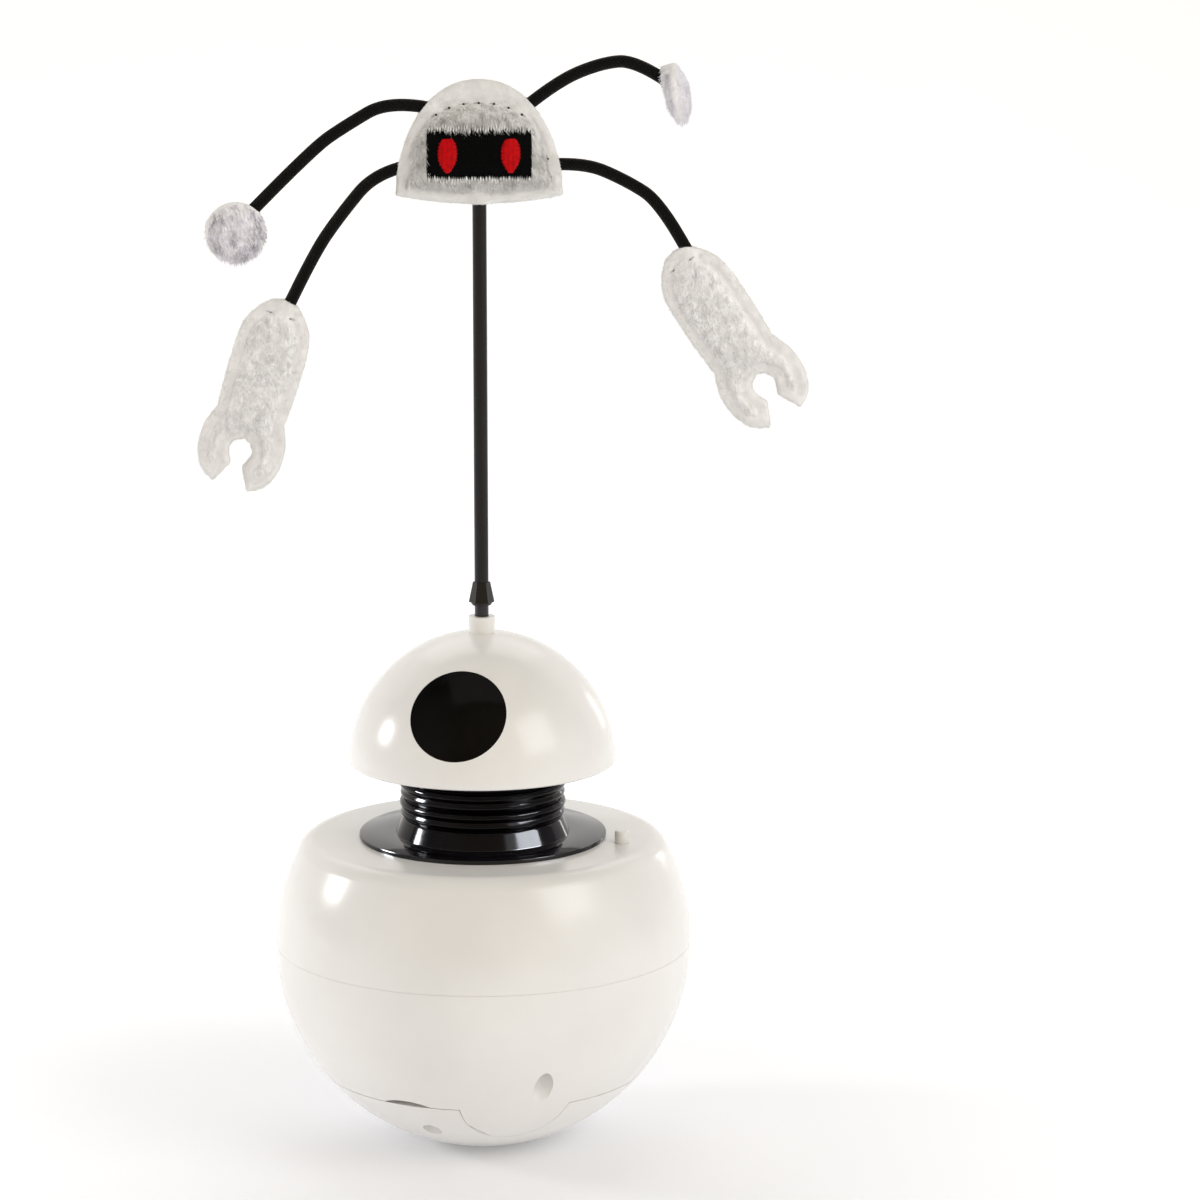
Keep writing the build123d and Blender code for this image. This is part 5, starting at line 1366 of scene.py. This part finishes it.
# ---- What the operators share ----
def dress(finishes):
    """Gives every CAD node of these slots its finish."""
    for node in frame["nodes"].values():
        slot = node.material_slots[0]
        name = slot.material.name if slot.material else ""
        if name in finishes:
            slot.material = finishes[name]


def attach(piece, body):
    """A piece rides on a body."""
    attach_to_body(piece, body)


def fix_normals(piece):
    """Turns the faces of a closed mesh outwards."""
    form = bmesh.new()
    form.from_mesh(piece.data)
    bmesh.ops.recalc_face_normals(form, faces=form.faces)
    form.to_mesh(piece.data)
    form.free()


def fibre(kind, look):
    """The pile tree for one kind of fibre, made once."""
    found = bpy.data.node_groups.get("pile_" + kind)
    if found is None:
        felt = rgba(look.felt)
        light, shade, patch = {
            "grey": (rgba(look.pile), rgba(look.shade), 1.3),
            "felt": (felt, shade_of(felt, 0.9), 1.3),
            "pale": (linear("#F8F7F6"), linear("#DCDADB"), 1.3),
            # The left hand's fibres are darker and in larger patches than the right's: the streaks are its own, the
            # darker tone is painted shade.
            "hand_left": (linear("#EEEAF2"), linear("#B4B1B9"), 2.2),
            "hand_right": (linear("#F8F6FB"), linear("#DDDAE4"), 1.3),
        }[kind]
        found = pile_tree(pile_fibre("fibre_" + kind, light, shade, patch))
        found.name = "pile_" + kind
    return found


def pad_piece(pad, name, cloth, node):
    """Builds a pad in place of a CAD node; it rides on the wand."""
    piece = pad.build(name, cloth)
    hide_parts(node)
    attach(piece, "wand")
    return piece


def sew(name, pad, piece, shown, hole_size=0.55, hole_shade_tone="#25252A"):
    """Stitches along a pad's seam: thread that lies in the groove, and dark beads between the stitches that are
    painted shade for the needle holes.
    """
    pitch = pad.pitch * MM
    for label, material, tone, roughness, lift, stitch in (
        ("seam_thread_", "sewing_thread", "#B2B2B5", 0.7, 0.0, (0.8 * pitch, 0.3 * MM, 0.3 * MM)),
        # dark beads in the needle holes: painted shade
        ("seam_holes_", "needle_hole_" + hole_shade_tone[1:], hole_shade_tone, 0.8, 0.1, (hole_size * MM,) * 3),
    ):
        finish = bpy.data.materials.get(material) or moulded(material, linear(tone), roughness, 0.2, 0.02)
        row = line_mesh("seam", pad.seam_points(piece, lift, shown))
        attach(grow(label + name, row, stitch_tree(finish), Pitch=pitch, Stitch=stitch), "wand")


def sleeved(name, centre, radius, material, sides=20, step=0.6):
    """Tube along a line of points, with rounded ends and a map (turn, length) for its weave."""
    relief, ribs, strand = 0.012, 10, 0.9
    line = np.array([tuple(p) for p in centre])
    run = np.r_[0, np.cumsum(np.linalg.norm(np.diff(line, axis=0), axis=1))]
    count = int(run[-1] / step)
    at = np.linspace(0, run[-1], count + 1)
    spine = np.stack([np.interp(at, run, line[:, k]) for k in range(3)], 1)
    ways = np.gradient(spine, axis=0)
    ways /= np.linalg.norm(ways, axis=1)[:, None]
    side = np.cross(ways[0], (0, 1, 0))
    form = bmesh.new()
    layer = form.loops.layers.uv.new("sleeve")
    rings = []
    for place, way, s in zip(spine, ways, at):
        side = side - way * (side @ way)
        side /= np.linalg.norm(side)
        other = np.cross(way, side)
        close = min(s, run[-1] - s)
        size = radius * sqrt(max(0.05, 1 - max(0.0, 1 - close / (0.6 * radius)) ** 2))
        ring = []
        for k in range(sides):
            turn = 2 * pi * k / sides
            weave = 1 + relief * sin(ribs * turn) * cos(2 * pi * s / strand)
            ring.append(form.verts.new((place + (side * cos(turn) + other * sin(turn)) * size * weave) * MM))
        rings.append(ring)
    for i in range(len(rings) - 1):
        for k in range(sides):
            n = (k + 1) % sides
            face = form.faces.new((rings[i][k], rings[i][n], rings[i + 1][n], rings[i + 1][k]))
            for loop, (u, v) in zip(face.loops, ((k, i), (k + 1, i), (k + 1, i + 1), (k, i + 1))):
                loop[layer].uv = (u / sides, at[v])
    form.faces.new(rings[0][::-1])
    form.faces.new(rings[-1])
    bmesh.ops.recalc_face_normals(form, faces=form.faces)
    mesh = bpy.data.meshes.new(name)
    form.to_mesh(mesh)
    form.free()
    mesh.materials.append(material)
    mesh.shade_smooth()
    return stand(name, mesh)


GROUPS = {
    "lasertoy_casing": CasingSettings,
    "lasertoy_plush": PlushSettings,
    "lasertoy_embroidery": EmbroiderySettings,
    "lasertoy_arms": ArmSettings,
    "lasertoy_stage": StageSettings,
}
STEPS = (
    LASERTOY_OT_casing, LASERTOY_OT_works, LASERTOY_OT_plush_head, LASERTOY_OT_visor, LASERTOY_OT_arms,
    LASERTOY_OT_hands, LASERTOY_OT_stage,
)


def register():
    for group in GROUPS.values():
        bpy.utils.register_class(group)
    for step in STEPS + (LASERTOY_PT_panel,):
        bpy.utils.register_class(step)
    for name, group in GROUPS.items():
        setattr(bpy.types.Scene, name, bpy.props.PointerProperty(type=group))


def unregister():
    for name in GROUPS:
        delattr(bpy.types.Scene, name)
    for step in reversed(STEPS + (LASERTOY_PT_panel,)):
        bpy.utils.unregister_class(step)
    for group in GROUPS.values():
        bpy.utils.unregister_class(group)


def main():
    register()
    for step in STEPS:
        group, name = step.bl_idname.split(".")
        getattr(getattr(bpy.ops, group), name)()
    bpy.context.view_layer.update()


if __name__ == "__main__":
    main()
